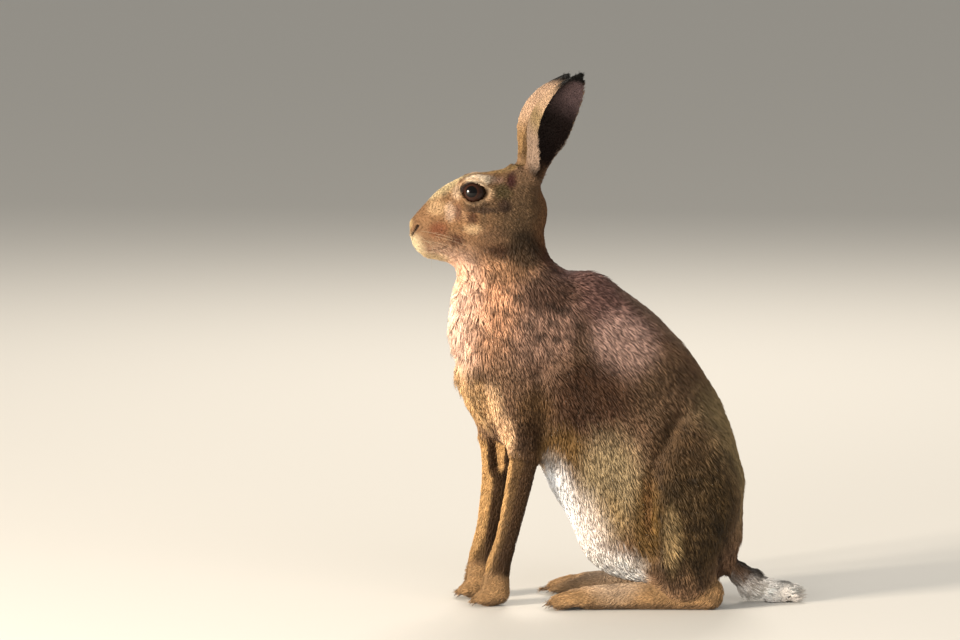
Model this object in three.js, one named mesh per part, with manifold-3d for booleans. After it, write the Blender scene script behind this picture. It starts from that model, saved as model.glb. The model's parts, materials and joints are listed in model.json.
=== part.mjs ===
// A brown hare sitting upright on straight forelegs, life size, in millimetres, +Z up.
// It faces -X, its left side is towards -Y, and its feet rest on the floor at Z = 0.
// The flesh is one smooth field, built from chains of oval sections. It is meshed once for each
// fineness and then parted with thin cuts, so that neighbouring pieces meet face to face.
import * as THREE from "three";
import { mergeVertices } from "three/addons/utils/BufferGeometryUtils.js";
import Module from "manifold-3d";

const wasm = await Module();
wasm.setup();

// Driving sizes
const seam = 0.3; // gap between pieces that meet
const footGap = 0.42; // gap round the hind feet, wider for their larger facets
const socketGap = 0.45; // gap between an eye and its socket
const finest = 0.01; // corners closer than this become one
const originX = 23.2; // the middle of the hare's length, measured in the drawing's own X
const eyeRadius = 11.3;
const eyeCentre = { x: -95.5, y: 18.8, z: 373.2 };
const lidThickness = 2.2;
const lidOpening = { length: 22, height: 16 };
const nostril = { x: -147.7, y: 7, z: 337, lean: 60, half: [4.8, 3.2, 1.5] };
const earHalfWidth = 27;
const earWall = 2.4;
const earCap = { radius: 18, length: 40 }; // the room above each ear's root
const bodyCell = [12.5, 11.5, 12.5]; // size of the facets on the body
const headCell = [5.5, 5.2, 5.5];
const limbCell = [5.8, 5.8, 14];
const footCell = [11, 4.5, 5.8];
const pawCell = [6.2, 4.5, 6];
const clawLength = 9;

const sides = { left: -1, right: 1 };

// Oval chains. A station is [x, y, z, half depth in the side view, half width across].
const stationsOf = (rows) =>
  rows.map(([x, y, z, deep, wide]) => ({ at: new THREE.Vector3(x, y, z), deep, wide }));

// The stations with others between them, on a smooth curve through all of them.
function smoothed(stations, between = 4) {
  const curve = new THREE.CatmullRomCurve3(stations.map((s) => s.at), false, "centripetal");
  const last = stations.length - 1;
  const steps = last * between;
  return Array.from({ length: steps + 1 }, (_, i) => {
    const share = (i / steps) * last;
    const k = Math.min(Math.floor(share), last - 1);
    const t = share - k;
    return {
      at: curve.getPoint(i / steps),
      deep: THREE.MathUtils.lerp(stations[k].deep, stations[k + 1].deep, t),
      wide: THREE.MathUtils.lerp(stations[k].wide, stations[k + 1].wide, t),
    };
  });
}

const across = new THREE.Vector3(0, 1, 0);

// The field of a chain: below zero inside, and close to the distance in millimetres near its surface.
function chain(rows, between = 4) {
  const points = smoothed(stationsOf(rows), between);
  const links = points.slice(1).map((b, i) => {
    const a = points[i];
    const along = b.at.clone().sub(a.at);
    const length = along.length();
    along.normalize();
    const side = across.clone().addScaledVector(along, -across.dot(along)).normalize();
    const normal = along.clone().cross(side);
    return { a, b, along, length, side, normal };
  });
  const middle = new THREE.Vector3();
  points.forEach((p) => middle.addScaledVector(p.at, 1 / points.length));
  const reach = Math.max(...points.map((p) => p.at.distanceTo(middle) + Math.max(p.deep, p.wide)));
  return (x, y, z) => {
    const far = Math.hypot(x - middle.x, y - middle.y, z - middle.z) - reach;
    if (far > 40) return far;
    let best = Infinity;
    for (const { a, b, along, length, side, normal } of links) {
      const dx = x - a.at.x;
      const dy = y - a.at.y;
      const dz = z - a.at.z;
      const run = dx * along.x + dy * along.y + dz * along.z;
      const t = Math.min(Math.max(run / length, 0), 1);
      const deep = a.deep + (b.deep - a.deep) * t;
      const wide = a.wide + (b.wide - a.wide) * t;
      const past = (run - t * length) / Math.min(deep, wide);
      const up = (dx * normal.x + dy * normal.y + dz * normal.z) / deep;
      const out = (dx * side.x + dy * side.y + dz * side.z) / wide;
      const share = Math.sqrt(past * past + up * up + out * out);
      const rest = Math.hypot(past * Math.min(deep, wide), up * deep, out * wide);
      const value = share < 1e-6 ? -Math.min(deep, wide) : rest * (1 - 1 / share);
      if (value < best) best = value;
    }
    return best;
  };
}

// An oval lump: centre, half sizes, and its lean in the side view in degrees.
function lump(centre, half, lean = 0) {
  const turn = THREE.MathUtils.degToRad(lean);
  const cos = Math.cos(turn);
  const sin = Math.sin(turn);
  return (x, y, z) => {
    const dx = x - centre[0];
    const dz = z - centre[2];
    const u = (dx * cos + dz * sin) / half[0];
    const v = (y - centre[1]) / half[1];
    const w = (dz * cos - dx * sin) / half[2];
    const share = Math.sqrt(u * u + v * v + w * w);
    const rest = Math.hypot(u * half[0], v * half[1], w * half[2]);
    return share < 1e-6 ? -Math.min(...half) : rest * (1 - 1 / share);
  };
}

// Two fields joined with a fillet of about the given size.
function softUnion(a, b, fillet) {
  const h = Math.max(fillet - Math.abs(a - b), 0) / fillet;
  return Math.min(a, b) - (h * h * fillet) / 4;
}

const joined = (first, ...others) => (x, y, z) =>
  others.reduce((value, [field, fillet]) => softUnion(value, field(x, y, z), fillet), first(x, y, z));

// Rows of a chain moved to the hare's left or right
const onSide = (rows, sign) => rows.map(([x, y, z, deep, wide]) => [x, sign * y, z, deep, wide]);

// Trunk, from the breast along the belly to the rump
const trunk = chain([
  [-62, 0, 250, 60, 43],
  [-28, 0, 223, 90, 50],
  [19, 0, 191, 86, 53],
  [50, 0, 143, 88, 58],
  [72, 0, 94, 82, 61],
  [94, 0, 64, 57, 52],
  [106, 0, 54, 38, 38],
]);

const bellyFluff = lump([32, 0, 50], [36, 34, 24], -35);

const neck = chain([
  [-71, 0, 262, 43, 38],
  [-70, 0, 300, 40, 32],
  [-65, 0, 330, 34, 27.5],
  [-60, 0, 352, 28.5, 24],
]);

const shoulderBlade = (sign) => chain(onSide([
  [-38, 24, 288, 24, 14],
  [-60, 33, 245, 34, 17],
  [-77, 34, 204, 27, 17],
], sign));

const upperArm = (name) => chain(onSide([
  [name === "left" ? -79 : -89, 34, 204, 26, 17],
  [name === "left" ? -66 : -81, 36, 178, 24, 17],
  [name === "left" ? -50 : -73, 36, 156, 18, 14],
], sides[name]));

const haunch = (sign) => chain(onSide([
  [98, 34, 146, 36, 26],
  [98, 44, 102, 46, 31],
  [86, 52, 58, 34, 25],
  [98, 50, 28, 24, 18],
], sign));

// Forelegs: the left one is a step behind the right one.
const forelegRows = {
  left: [
    [-47, 36, 150, 16, 13.5],
    [-52, 33, 126, 13, 11.5],
    [-59, 29, 93, 11.6, 10.2],
    [-66.5, 26, 60, 10.4, 9.8],
    [-73, 24, 38, 11.5, 11.5],
    [-76, 24, 22, 12.5, 13],
  ],
  right: [
    [-75, 35, 152, 18, 13.5],
    [-75, 33, 126, 14, 11.5],
    [-78, 29, 96, 12.3, 10.2],
    [-83.5, 26, 62, 10.8, 9.8],
    [-89, 24, 38, 11.5, 11.5],
    [-91, 24, 22, 12.5, 13],
  ],
};

// Where each forepaw's wrist comes down, and where each hind foot's heel rests
const pawAt = { left: [-77, 24], right: [-91, 24] };
const heelAt = { left: [116, 46], right: [116, 46] };

const toe = { count: 4, spread: 7.2, radius: 5.4, length: 20 };
const hindToe = { count: 4, spread: 8.6, radius: 6.8, length: 34 };

// The last station of each toe, where its claw grows
const toeTips = (name) => Array.from({ length: toe.count }, (_, i) => {
  const off = i - (toe.count - 1) / 2;
  const [x, y] = pawAt[name];
  return [x - toe.length + 3 + Math.abs(off) * 2.4, sides[name] * (y + off * toe.spread * 1.06), 5.4];
});
const hindToeTips = (name) => Array.from({ length: hindToe.count }, (_, i) => {
  const off = i - (hindToe.count - 1) / 2;
  const [x, y] = heelAt[name];
  const tipX = x - 108 - hindToe.length + Math.abs(off - 0.5) * 5;
  return [tipX, sides[name] * (y - 4 + off * hindToe.spread), 6];
});

function forepaw(name) {
  const sign = sides[name];
  const [x, y] = pawAt[name];
  const pads = [chain(onSide([
    [x + 3, y, 12, 11.5, 12],
    [x - 4, y, 9, 10.5, 14],
  ], sign))];
  toeTips(name).forEach((tip, i) => {
    const off = i - (toe.count - 1) / 2;
    pads.push(chain([
      [x - 2, sign * (y + off * toe.spread * 0.8), 9, toe.radius, toe.radius],
      [(x - 2 + tip[0]) / 2 - 1, sign * (y + off * toe.spread), 9, toe.radius + 0.6, toe.radius],
      [...tip, toe.radius - 0.4, toe.radius - 0.6],
    ]));
  });
  return pads;
}

function hindFoot(name) {
  const sign = sides[name];
  const [x, y] = heelAt[name];
  const pads = [chain(onSide([
    [x, y, 15, 16, 13],
    [x - 35, y - 1, 13, 13.5, 13],
    [x - 80, y - 3, 11.5, 12, 15],
    [x - 108, y - 4, 10, 11, 18],
  ], sign))];
  for (const tip of hindToeTips(name)) {
    pads.push(chain([
      [x - 105, tip[1], 10, hindToe.radius, hindToe.radius],
      [(x - 108 + tip[0]) / 2, tip[1], 10, hindToe.radius + 0.6, hindToe.radius],
      [...tip, hindToe.radius - 0.4, hindToe.radius - 0.8],
    ]));
  }
  return pads;
}

// Head: skull and bridge of the nose, lip pads, jaw, cheeks, brows and the lids' swelling
const skull = chain([
  [-143.5, 0, 341.5, 11, 9],
  [-131, 0, 350, 14.5, 12.5],
  [-116, 0, 357.5, 20.5, 17.5],
  [-98, 0, 362.5, 25, 23],
  [-80, 0, 365, 25.5, 25],
  [-64, 0, 365, 27, 24],
  [-56, 0, 358, 23, 21],
]);
const jaw = chain([
  [-136, 0, 319, 7.5, 7.5],
  [-117, 0, 322, 13.5, 12.5],
  [-96, 0, 329, 18, 17],
  [-76, 0, 337, 20, 20],
]);
const nosePad = lump([-148, 0, 340], [5.5, 6.5, 7]);
const lipPad = (sign) => chain(onSide([
  [-142.5, 5.2, 328.5, 9.5, 8.2],
  [-130, 8, 329.5, 13, 10],
  [-114, 10, 334, 16, 11.5],
  [-98, 12, 341, 18, 13],
], sign));
const cheek = (sign) => lump([-80, sign * 15, 342], [24, 15, 22], 12);
const brow = (sign) => lump([-94, sign * 16, 382.5], [15, 7, 4.5], 8);
const lidSwelling = (sign) => {
  const radius = eyeRadius + lidThickness;
  return lump([eyeCentre.x, sign * eyeCentre.y, eyeCentre.z], [radius, radius, radius]);
};
const earRoot = (name) => {
  const { root, up } = earFrame(name);
  const low = root.clone().addScaledVector(up, -22);
  const high = root.clone().addScaledVector(up, 8);
  return chain([
    [low.x, low.y * 0.8, low.z, 15, 14],
    [high.x, high.y, high.z, 12.5, 12],
  ], 2);
};

// Ears: the left one stands a little behind the right one. Both cups open backwards and outwards.
const earPlan = {
  left: { root: [-44.5, -15, 391], tip: [1, -37, 481], openTo: -36 },
  right: { root: [-52, 15, 391], tip: [-10, 35, 476], openTo: 34 },
};

function earFrame(name) {
  const plan = earPlan[name];
  const root = new THREE.Vector3(...plan.root);
  const up = new THREE.Vector3(...plan.tip).sub(root).normalize();
  const turn = THREE.MathUtils.degToRad(plan.openTo);
  const open = new THREE.Vector3(Math.cos(turn), Math.sin(turn), 0);
  open.addScaledVector(up, -open.dot(up)).normalize();
  return { root, up, open, side: up.clone().cross(open).normalize() };
}

// Values read from a row of [share, value] pairs
function along(pairs, share) {
  const next = pairs.findIndex(([at]) => at >= share);
  if (next <= 0) return pairs[Math.max(next, 0)][1];
  const [a, from] = pairs[next - 1];
  const [b, to] = pairs[next];
  return THREE.MathUtils.lerp(from, to, (share - a) / (b - a));
}

// Half width, cup depth and how far the cup closes round, against the share of the ear's length
const earWidth = [[0, 0.36], [0.12, 0.38], [0.22, 0.58], [0.33, 0.84], [0.46, 1], [0.6, 1], [0.72, 0.93],
  [0.83, 0.74], [0.92, 0.45], [0.97, 0.24], [1, 0.07]];
const earDepth = [[0, 0.38], [0.15, 0.46], [0.35, 0.78], [0.55, 0.86], [0.75, 0.66], [0.9, 0.3], [1, 0.05]];
const earClose = [[0, 150], [0.15, 135], [0.3, 108], [0.5, 92], [0.75, 84], [1, 70]];
const earBulge = 9; // how far the ear's middle lies forward of the line from root to tip

function earSolid(name) {
  const { root, up, open, side } = earFrame(name);
  const tip = new THREE.Vector3(...earPlan[name].tip);
  const length = tip.distanceTo(root);
  const rows = 13;
  const columns = 7;
  const points = [];
  for (let i = 0; i <= rows; i += 1) {
    const share = 1 - (1 - i / rows) ** 1.15;
    const width = earHalfWidth * along(earWidth, share);
    const depth = earHalfWidth * along(earDepth, share);
    const close = THREE.MathUtils.degToRad(along(earClose, share));
    const wall = earWall * (share > 0.8 ? THREE.MathUtils.lerp(1, 0.45, (share - 0.8) / 0.2) : 1);
    const middle = root.clone().addScaledVector(up, share * length);
    middle.addScaledVector(open, -earBulge * Math.sin(Math.PI * share));
    for (const inner of [false, true]) {
      for (let j = 0; j <= columns; j += 1) {
        const turn = close * ((inner ? columns - j : j) / columns * 2 - 1);
        const thin = inner ? wall * (0.55 + 0.45 * Math.cos(turn / close * Math.PI / 2)) : 0;
        const reach = Math.max(width - thin, width * 0.3);
        const deep = Math.max(depth - thin, depth * 0.3);
        points.push(middle.clone()
          .addScaledVector(side, Math.sin(turn) * reach)
          .addScaledVector(open, -Math.cos(turn) * deep + depth * 0.4));
      }
    }
  }
  return solidOf(closedLoft(points, rows + 1, 2 * (columns + 1)));
}

// A closed surface through rings of points that fold flat, as a leaf with an outer and an inner face:
// point j of the outer face lies over point (count - 1 - j) of the inner one.
function closedLoft(points, rings, count) {
  const faces = [];
  const at = (i, j) => i * count + ((j + count) % count);
  const half = count / 2;
  for (let i = 0; i + 1 < rings; i += 1) {
    for (let j = 0; j < count; j += 1) {
      const [a, b, c, d] = [at(i, j), at(i, j + 1), at(i + 1, j + 1), at(i + 1, j)];
      if (j < half) faces.push(a, b, d, b, c, d);
      else faces.push(a, c, d, a, b, c);
    }
  }
  for (let j = 0; j + 1 < half; j += 1) {
    const back = count - 1 - j;
    const top = rings - 1;
    faces.push(at(0, j), at(0, back), at(0, j + 1), at(0, j + 1), at(0, back), at(0, back - 1));
    faces.push(at(top, j), at(top, j + 1), at(top, back), at(top, j + 1), at(top, back - 1), at(top, back));
  }
  return geometryOf(points.flatMap((p) => [p.x, p.y, p.z]), faces.reverse());
}

// A tapered piece along a line of points, oval in section, and pointed at its far end.
// sizes are [half width, half thickness] at each point but the last; flat is the way its thickness faces.
function taper(line, sizes, flat, around = 6) {
  const positions = [];
  const faces = [];
  const rings = sizes.length;
  for (let i = 0; i < rings; i += 1) {
    const ahead = line[Math.min(i + 1, rings)].clone().sub(line[Math.max(i - 1, 0)]).normalize();
    const side = ahead.clone().cross(flat).normalize();
    const up = side.clone().cross(ahead);
    for (let j = 0; j < around; j += 1) {
      const turn = (j / around) * Math.PI * 2;
      const p = line[i].clone()
        .addScaledVector(side, Math.cos(turn) * sizes[i][0])
        .addScaledVector(up, Math.sin(turn) * sizes[i][1]);
      positions.push(p.x, p.y, p.z);
    }
  }
  positions.push(...line[0].toArray(), ...line[rings].toArray());
  const first = rings * around;
  for (let j = 0; j < around; j += 1) {
    const next = (j + 1) % around;
    for (let i = 0; i + 1 < rings; i += 1) {
      const a = i * around;
      const b = a + around;
      faces.push(a + j, b + next, a + next, a + j, b + j, b + next);
    }
    const last = (rings - 1) * around;
    faces.push(first, j, next, last + next, last + j, first + 1);
  }
  const made = solidOf(geometryOf(positions, faces));
  return made.volume() < 0 ? solidOf(geometryOf(positions, faces.reverse())) : made;
}

function geometryOf(positions, faces) {
  const geometry = new THREE.BufferGeometry();
  geometry.setAttribute("position", new THREE.Float32BufferAttribute(positions, 3));
  geometry.setIndex(faces);
  return geometry;
}

// Meshes a field inside a box with one corner in each cell that the surface passes through.
function meshField(field, low, high, cell) {
  const count = [0, 1, 2].map((k) => Math.ceil((high[k] - low[k]) / cell[k]) + 1);
  const smallest = Math.min(...cell);
  const [nx, ny, nz] = count;
  const id = (i, j, k) => (i * ny + j) * nz + k;
  const values = new Float64Array(nx * ny * nz);
  for (let i = 0; i < nx; i += 1) {
    for (let j = 0; j < ny; j += 1) {
      for (let k = 0; k < nz; k += 1) {
        const edge = i === 0 || j === 0 || k === 0 || i === nx - 1 || j === ny - 1 || k === nz - 1;
        const value = field(low[0] + i * cell[0], low[1] + j * cell[1], low[2] + k * cell[2]);
        values[id(i, j, k)] = edge ? Math.max(value, smallest * 0.4) : value;
      }
    }
  }
  const corners = [];
  const cornerOf = new Map();
  const cellCorner = (i, j, k) => {
    const key = id(i, j, k);
    if (cornerOf.has(key)) return cornerOf.get(key);
    const sum = [0, 0, 0];
    let hits = 0;
    for (let e = 0; e < 12; e += 1) {
      const axis = e >> 2;
      const a = [0, 0, 0];
      a[(axis + 1) % 3] = e & 1;
      a[(axis + 2) % 3] = (e >> 1) & 1;
      const b = [...a];
      b[axis] = 1;
      const va = values[id(i + a[0], j + a[1], k + a[2])];
      const vb = values[id(i + b[0], j + b[1], k + b[2])];
      if (va < 0 === vb < 0) continue;
      const t = va / (va - vb);
      a.forEach((v, n) => { sum[n] += v + (b[n] - v) * t; });
      hits += 1;
    }
    const spot = [i, j, k].map((v, n) => low[n] + (v + sum[n] / hits) * cell[n]);
    const made = corners.length / 3;
    corners.push(...settled(field, spot, smallest));
    cornerOf.set(key, made);
    return made;
  };
  const faces = [];
  for (let i = 0; i < nx - 1; i += 1) {
    for (let j = 0; j < ny - 1; j += 1) {
      for (let k = 0; k < nz - 1; k += 1) {
        const inside = values[id(i, j, k)] < 0;
        [[1, 0, 0], [0, 1, 0], [0, 0, 1]].forEach((step, axis) => {
          const other = values[id(i + step[0], j + step[1], k + step[2])] < 0;
          if (inside === other) return;
          const u = (axis + 1) % 3;
          const v = (axis + 2) % 3;
          const quad = [[0, 0], [-1, 0], [-1, -1], [0, -1]].map(([du, dv]) => {
            const at = [i, j, k];
            at[u] += du;
            at[v] += dv;
            return cellCorner(...at);
          });
          if (!inside) quad.reverse();
          const [a, b, c, d] = quad;
          const between = (m, n) => [0, 1, 2].map((e) => corners[3 * m + e] - corners[3 * n + e]);
          const apart = (m, n) => Math.hypot(...between(m, n));
          if (apart(a, c) < apart(b, d)) faces.push(a, b, c, a, c, d);
          else faces.push(a, b, d, b, c, d);
        });
      }
    }
  }
  return geometryOf(corners, faces);
}

// How a field rises round a point, for each millimetre
function slopeOf(field, [x, y, z]) {
  const h = 0.05;
  return new THREE.Vector3(
    field(x + h, y, z) - field(x - h, y, z),
    field(x, y + h, z) - field(x, y - h, z),
    field(x, y, z + h) - field(x, y, z - h),
  ).multiplyScalar(0.5 / h);
}

// The same mesh with every corner moved outwards, as the room that a piece needs
function grown(geometry, field, amount) {
  const spots = Array.from(geometry.getAttribute("position").array);
  for (let i = 0; i < spots.length; i += 3) {
    const out = slopeOf(field, spots.slice(i, i + 3)).normalize();
    out.toArray().forEach((v, k) => { spots[i + k] += v * amount; });
  }
  return geometryOf(spots, Array.from(geometry.index.array));
}

// A corner moved onto the surface of the field, by at most a third of a cell
function settled(field, spot, cell) {
  const [x, y, z] = spot;
  const value = field(x, y, z);
  const slope = slopeOf(field, spot);
  const steep = slope.lengthSq();
  if (steep < 0.05 || Math.abs(value) > cell * 0.34) return spot;
  slope.multiplyScalar(-value / steep);
  return [x + slope.x, y + slope.y, z + slope.z];
}

// A three.js geometry as a solid
function solidOf(geometry) {
  const bare = geometry.clone();
  bare.deleteAttribute("normal");
  bare.deleteAttribute("uv");
  const merged = mergeVertices(bare, 1e-3);
  return new wasm.Manifold(new wasm.Mesh({
    numProp: 3,
    vertProperties: new Float32Array(merged.getAttribute("position").array),
    triVerts: new Uint32Array(merged.index.array),
    tolerance: finest,
  }));
}

// Only the largest closed surface of a solid is kept.
function largest(solid) {
  const found = solid.decompose().sort((a, b) => b.volume() - a.volume());
  return found[0];
}

function placed(geometry, at, turn = [0, 0, 0], scale = [1, 1, 1]) {
  const matrix = new THREE.Matrix4().compose(
    new THREE.Vector3(...at),
    new THREE.Quaternion().setFromEuler(new THREE.Euler(...turn)),
    new THREE.Vector3(...scale),
  );
  return solidOf(geometry.clone().applyMatrix4(matrix));
}

// A large block whose one face passes through a point of the side view, square to a direction there.
// It lies on the side that the direction points to, moved on by the given distance.
function halfSpace(point, direction, moved, size = 500) {
  const facing = new THREE.Vector3(direction[0], 0, direction[1]).normalize();
  const block = new THREE.BoxGeometry(size, size, size);
  const turn = Math.atan2(facing.x, facing.z);
  const centre = new THREE.Vector3(point[0], 0, point[1]).addScaledVector(facing, size / 2 + moved);
  return placed(block, centre.toArray(), [0, turn, 0]);
}

// A bar across the hare, from a depth outwards, whose outline in the side view is an oval.
// along is the direction of its long axis in degrees from +X towards +Z.
function ovalBar({ at, half, along: lean, from }, sign, grow) {
  const shape = new THREE.Shape();
  shape.absellipse(0, 0, half[0] + grow, half[1] + grow, 0, Math.PI * 2);
  const bar = new THREE.ExtrudeGeometry(shape, { depth: 90, bevelEnabled: false, curveSegments: 9 });
  bar.rotateZ(THREE.MathUtils.degToRad(lean));
  bar.rotateX(Math.PI / 2);
  const y = sign < 0 ? -(from - grow) : 90 + from - grow;
  return placed(bar, [at[0], y, at[1]]);
}

// The whole flesh as one field
const sidesOf = (make) => Object.values(sides).map((sign) => make(sign));
const namesOf = (make) => Object.keys(sides).map((name) => make(name));
const legOf = (name) => chain(onSide(forelegRows[name], sides[name]));
const headField = joined(
  skull,
  [jaw, 9],
  ...sidesOf(cheek).map((f) => [f, 10]),
  ...sidesOf(lipPad).map((f) => [f, 8]),
  [nosePad, 4],
  ...sidesOf(brow).map((f) => [f, 8]),
  ...sidesOf(lidSwelling).map((f) => [f, 7]),
  ...namesOf(earRoot).map((f) => [f, 9]),
);
const withToes = ([pad, ...toes], fillet) => joined(pad, ...toes.map((f) => [f, fillet]));
const bodyField = joined(
  trunk,
  [bellyFluff, 14],
  [neck, 30],
  ...sidesOf(shoulderBlade).map((f) => [f, 22]),
  ...namesOf(upperArm).map((f) => [f, 22]),
  ...sidesOf(haunch).map((f) => [f, 22]),
);
const fleshField = joined(bodyField, [headField, 16], ...namesOf(legOf).map((f) => [f, 8]));

// Cuts, each a point and a direction in the side view
const cuts = {
  head: { at: [-66, 325], to: [-0.42, 0.9] },
  neck: { at: [-70, 290], to: [-0.3, 0.95] },
  loin: { at: [40, 146], to: [0.74, -0.67] },
  elbow: { at: [-50, 141], to: [-0.2, -0.98] },
  armpit: { at: [-33, 140], to: [-1, 0] },
  knee: { at: [92, 52], to: [0.12, -0.99] },
  wrist: { at: [-75, 30], to: [-0.2, -0.98] },
};
const beyond = (cut, moved = seam / 2) => halfSpace(cut.at, cut.to, moved);
const before = (cut, moved = seam / 2) => halfSpace(cut.at, cut.to.map((v) => -v), moved);

// Where a thigh or an upper arm is lifted out of the body
const thighBar = { at: [98, 84], half: [86, 50], along: 97, from: 33 };
const armBar = {
  left: { at: [-66, 178], half: [42, 23], along: 119, from: 26 },
  right: { at: [-82, 180], half: [40, 23], along: 107, from: 26 },
};

const bodyMesh = meshField(fleshField, [-141, -109.25, -8], [173, 109.25, 380], bodyCell);
const bodyWhole = solidOf(bodyMesh);
const headWhole = solidOf(meshField(fleshField, [-162.2, -50.3, 286], [-14, 50, 412], headCell));

const floorUp = halfSpace([0, 0], [0, 1], 0, 1400);
const parts = new Map();
const keep = (name, solid) => parts.set(name, largest(solid.intersect(floorUp)));

let torso = bodyWhole.intersect(before(cuts.neck)).intersect(before(cuts.loin));
let rump = bodyWhole.intersect(beyond(cuts.loin));
keep("neck", bodyWhole.intersect(beyond(cuts.neck)).intersect(before(cuts.head)));

const claw = (tip, length, radius) => taper(
  [
    new THREE.Vector3(tip[0] + 3, tip[1], tip[2] + 0.6),
    new THREE.Vector3(tip[0] - length * 0.6, tip[1], tip[2] - 0.4),
    new THREE.Vector3(tip[0] - length, tip[1], tip[2] - 4.2),
  ],
  [[radius, radius * 1.2], [radius * 0.8, radius * 0.9]],
  new THREE.Vector3(0, 0, 1),
  4,
);

// The room outside a foreleg's inner face
const legSide = (sign, moved) => {
  const [inner, width] = [15, 70];
  return placed(new THREE.BoxGeometry(400, width, 500), [-60, sign * (inner + moved + width / 2), 200]);
};

for (const [name, sign] of Object.entries(sides)) {
  const footField = withToes(hindFoot(name), 2.5);
  const low = [-54, sign * 46 - 37, -6];
  const high = [146, sign * 46 + 37, 46];
  const footMesh = meshField(footField, low, high, footCell);
  const footRoom = solidOf(grown(footMesh, footField, footGap));
  const foot = solidOf(footMesh);
  const claws = hindToeTips(name).map((tip) => claw(tip, clawLength + 4, 2.1));
  keep(`hind_foot_${name}`, wasm.Manifold.union([foot, ...claws]));

  const leg = solidOf(meshField(
    joined(legOf(name), [bodyField, 8]), [-122, sign * 31 - 31, 15.5], [-14, sign * 31 + 31, 180], limbCell));
  const pawSolid = solidOf(meshField(
    joined(legOf(name), [withToes(forepaw(name), 2), 6]),
    [-122, sign * 31 - 27, -6], [-40, sign * 31 + 27, 60], pawCell));
  const pawClaws = toeTips(name).map((tip) => claw(tip, clawLength, 1.7));
  const legZone = beyond(cuts.elbow).intersect(beyond(cuts.armpit)).intersect(legSide(sign, seam / 2));
  keep(`forearm_${name}`, leg.intersect(legZone).intersect(before(cuts.wrist)));
  keep(`forepaw_${name}`, wasm.Manifold.union([pawSolid.intersect(beyond(cuts.wrist)), ...pawClaws]));

  const outside = (bar) => ovalBar(bar, sign, 0);
  const roomFor = (bar) => ovalBar(bar, sign, seam);
  const leaf = bodyWhole.intersect(outside(thighBar)).subtract(footRoom);
  keep(`thigh_${name}`, leaf.intersect(before(cuts.knee)));
  keep(`shank_${name}`, leaf.intersect(beyond(cuts.knee)));
  rump = rump.subtract(roomFor(thighBar)).subtract(footRoom);
  torso = torso.subtract(roomFor(thighBar)).subtract(footRoom);
  keep(`upper_arm_${name}`, bodyWhole.intersect(outside(armBar[name])).intersect(before(cuts.elbow)));
  torso = torso.subtract(roomFor(armBar[name]));
  const legRoom = beyond(cuts.elbow, -seam / 2).intersect(beyond(cuts.armpit, -seam / 2));
  torso = torso.subtract(legRoom.intersect(legSide(sign, -seam / 2)));
}
keep("torso", torso);
keep("rump", rump);

// Tail: a short core that lies on the floor behind the rump, with a brush of tapered locks
const tailRows = [
  [124, 0, 44, 13, 12],
  [143, 0, 27, 11, 12],
  [160, 0, 16, 9.5, 11],
  [172, 0, 12, 6, 7],
];
const tailLocks = {
  rings: 3,
  around: 6,
  length: 28,
  width: 6.5,
  thickness: 1.7,
  path: [[-0.07, 0.6], [0.35, 1.08], [0.7, 1.15], [1, 0.95]], // shares of its length and the tail's thickness
  seed: 7,
};

function randomFrom(seed) {
  let state = seed;
  return () => {
    state = (state * 16807) % 2147483647;
    return state / 2147483647;
  };
}

function tailSolid() {
  const core = chain(tailRows);
  const pieces = [solidOf(meshField(core, [104, -22, -4], [188, 22, 64], [7.5, 6, 7]))];
  const line = new THREE.CatmullRomCurve3(tailRows.map(([x, y, z]) => new THREE.Vector3(x, y, z)));
  const random = randomFrom(tailLocks.seed);
  for (let i = 0; i < tailLocks.rings; i += 1) {
    const share = 0.3 + (0.62 * i) / (tailLocks.rings - 1);
    const centre = line.getPoint(share);
    const back = line.getTangent(share);
    const thick = THREE.MathUtils.lerp(11.5, 6.5, share);
    for (let j = 0; j < tailLocks.around; j += 1) {
      const turn = ((j + (i % 2) / 2) / tailLocks.around) * Math.PI * 2;
      const out = new THREE.Vector3(0, Math.sin(turn), Math.cos(turn));
      out.addScaledVector(back, -out.dot(back)).normalize();
      const length = tailLocks.length * (0.85 + 0.3 * random());
      const at = (run, lift) => centre.clone().addScaledVector(back, run).addScaledVector(out, lift);
      pieces.push(taper(
        tailLocks.path.map(([run, lift]) => at(run * length, lift * thick)),
        [
          [tailLocks.width * 0.8, tailLocks.thickness],
          [tailLocks.width, tailLocks.thickness],
          [tailLocks.width * 0.6, tailLocks.thickness * 0.7],
        ],
        out,
        4,
      ));
    }
  }
  return wasm.Manifold.union(pieces);
}
keep("tail", tailSolid().subtract(solidOf(grown(bodyMesh, fleshField, seam))));

// Head with eye sockets, lids, nostrils and the line of the mouth
let head = headWhole.intersect(beyond(cuts.head));
const ball = (radius, around, rings) => new THREE.SphereGeometry(radius, around, rings);
const almond = new THREE.Shape();
almond.absellipse(0, 0, lidOpening.length / 2, lidOpening.height / 2, 0, Math.PI * 2);
const almondBar = new THREE.ExtrudeGeometry(almond, { depth: 30, bevelEnabled: false, curveSegments: 9 });
const mouthPath = [
  [-150.6, -1.7, 323.4],
  [-146, 6, 319.5],
  [-138, 11.5, 318],
  [-128, 15.5, 319.5],
  [-119, 18, 323],
];
const cleftPath = [[-157, 0, 336], [-152.5, 0, 331], [-150.8, 0, 326], [-149.7, 0, 320.2]];
const grooveAlong = (rows, radius) => {
  const line = rows.map((p) => new THREE.Vector3(...p));
  const sizes = rows.slice(1).map(() => [radius, radius]);
  return taper(line, sizes, new THREE.Vector3(0, 0.1, 1), 5);
};
head = head.subtract(grooveAlong(cleftPath, 1.1));
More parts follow.
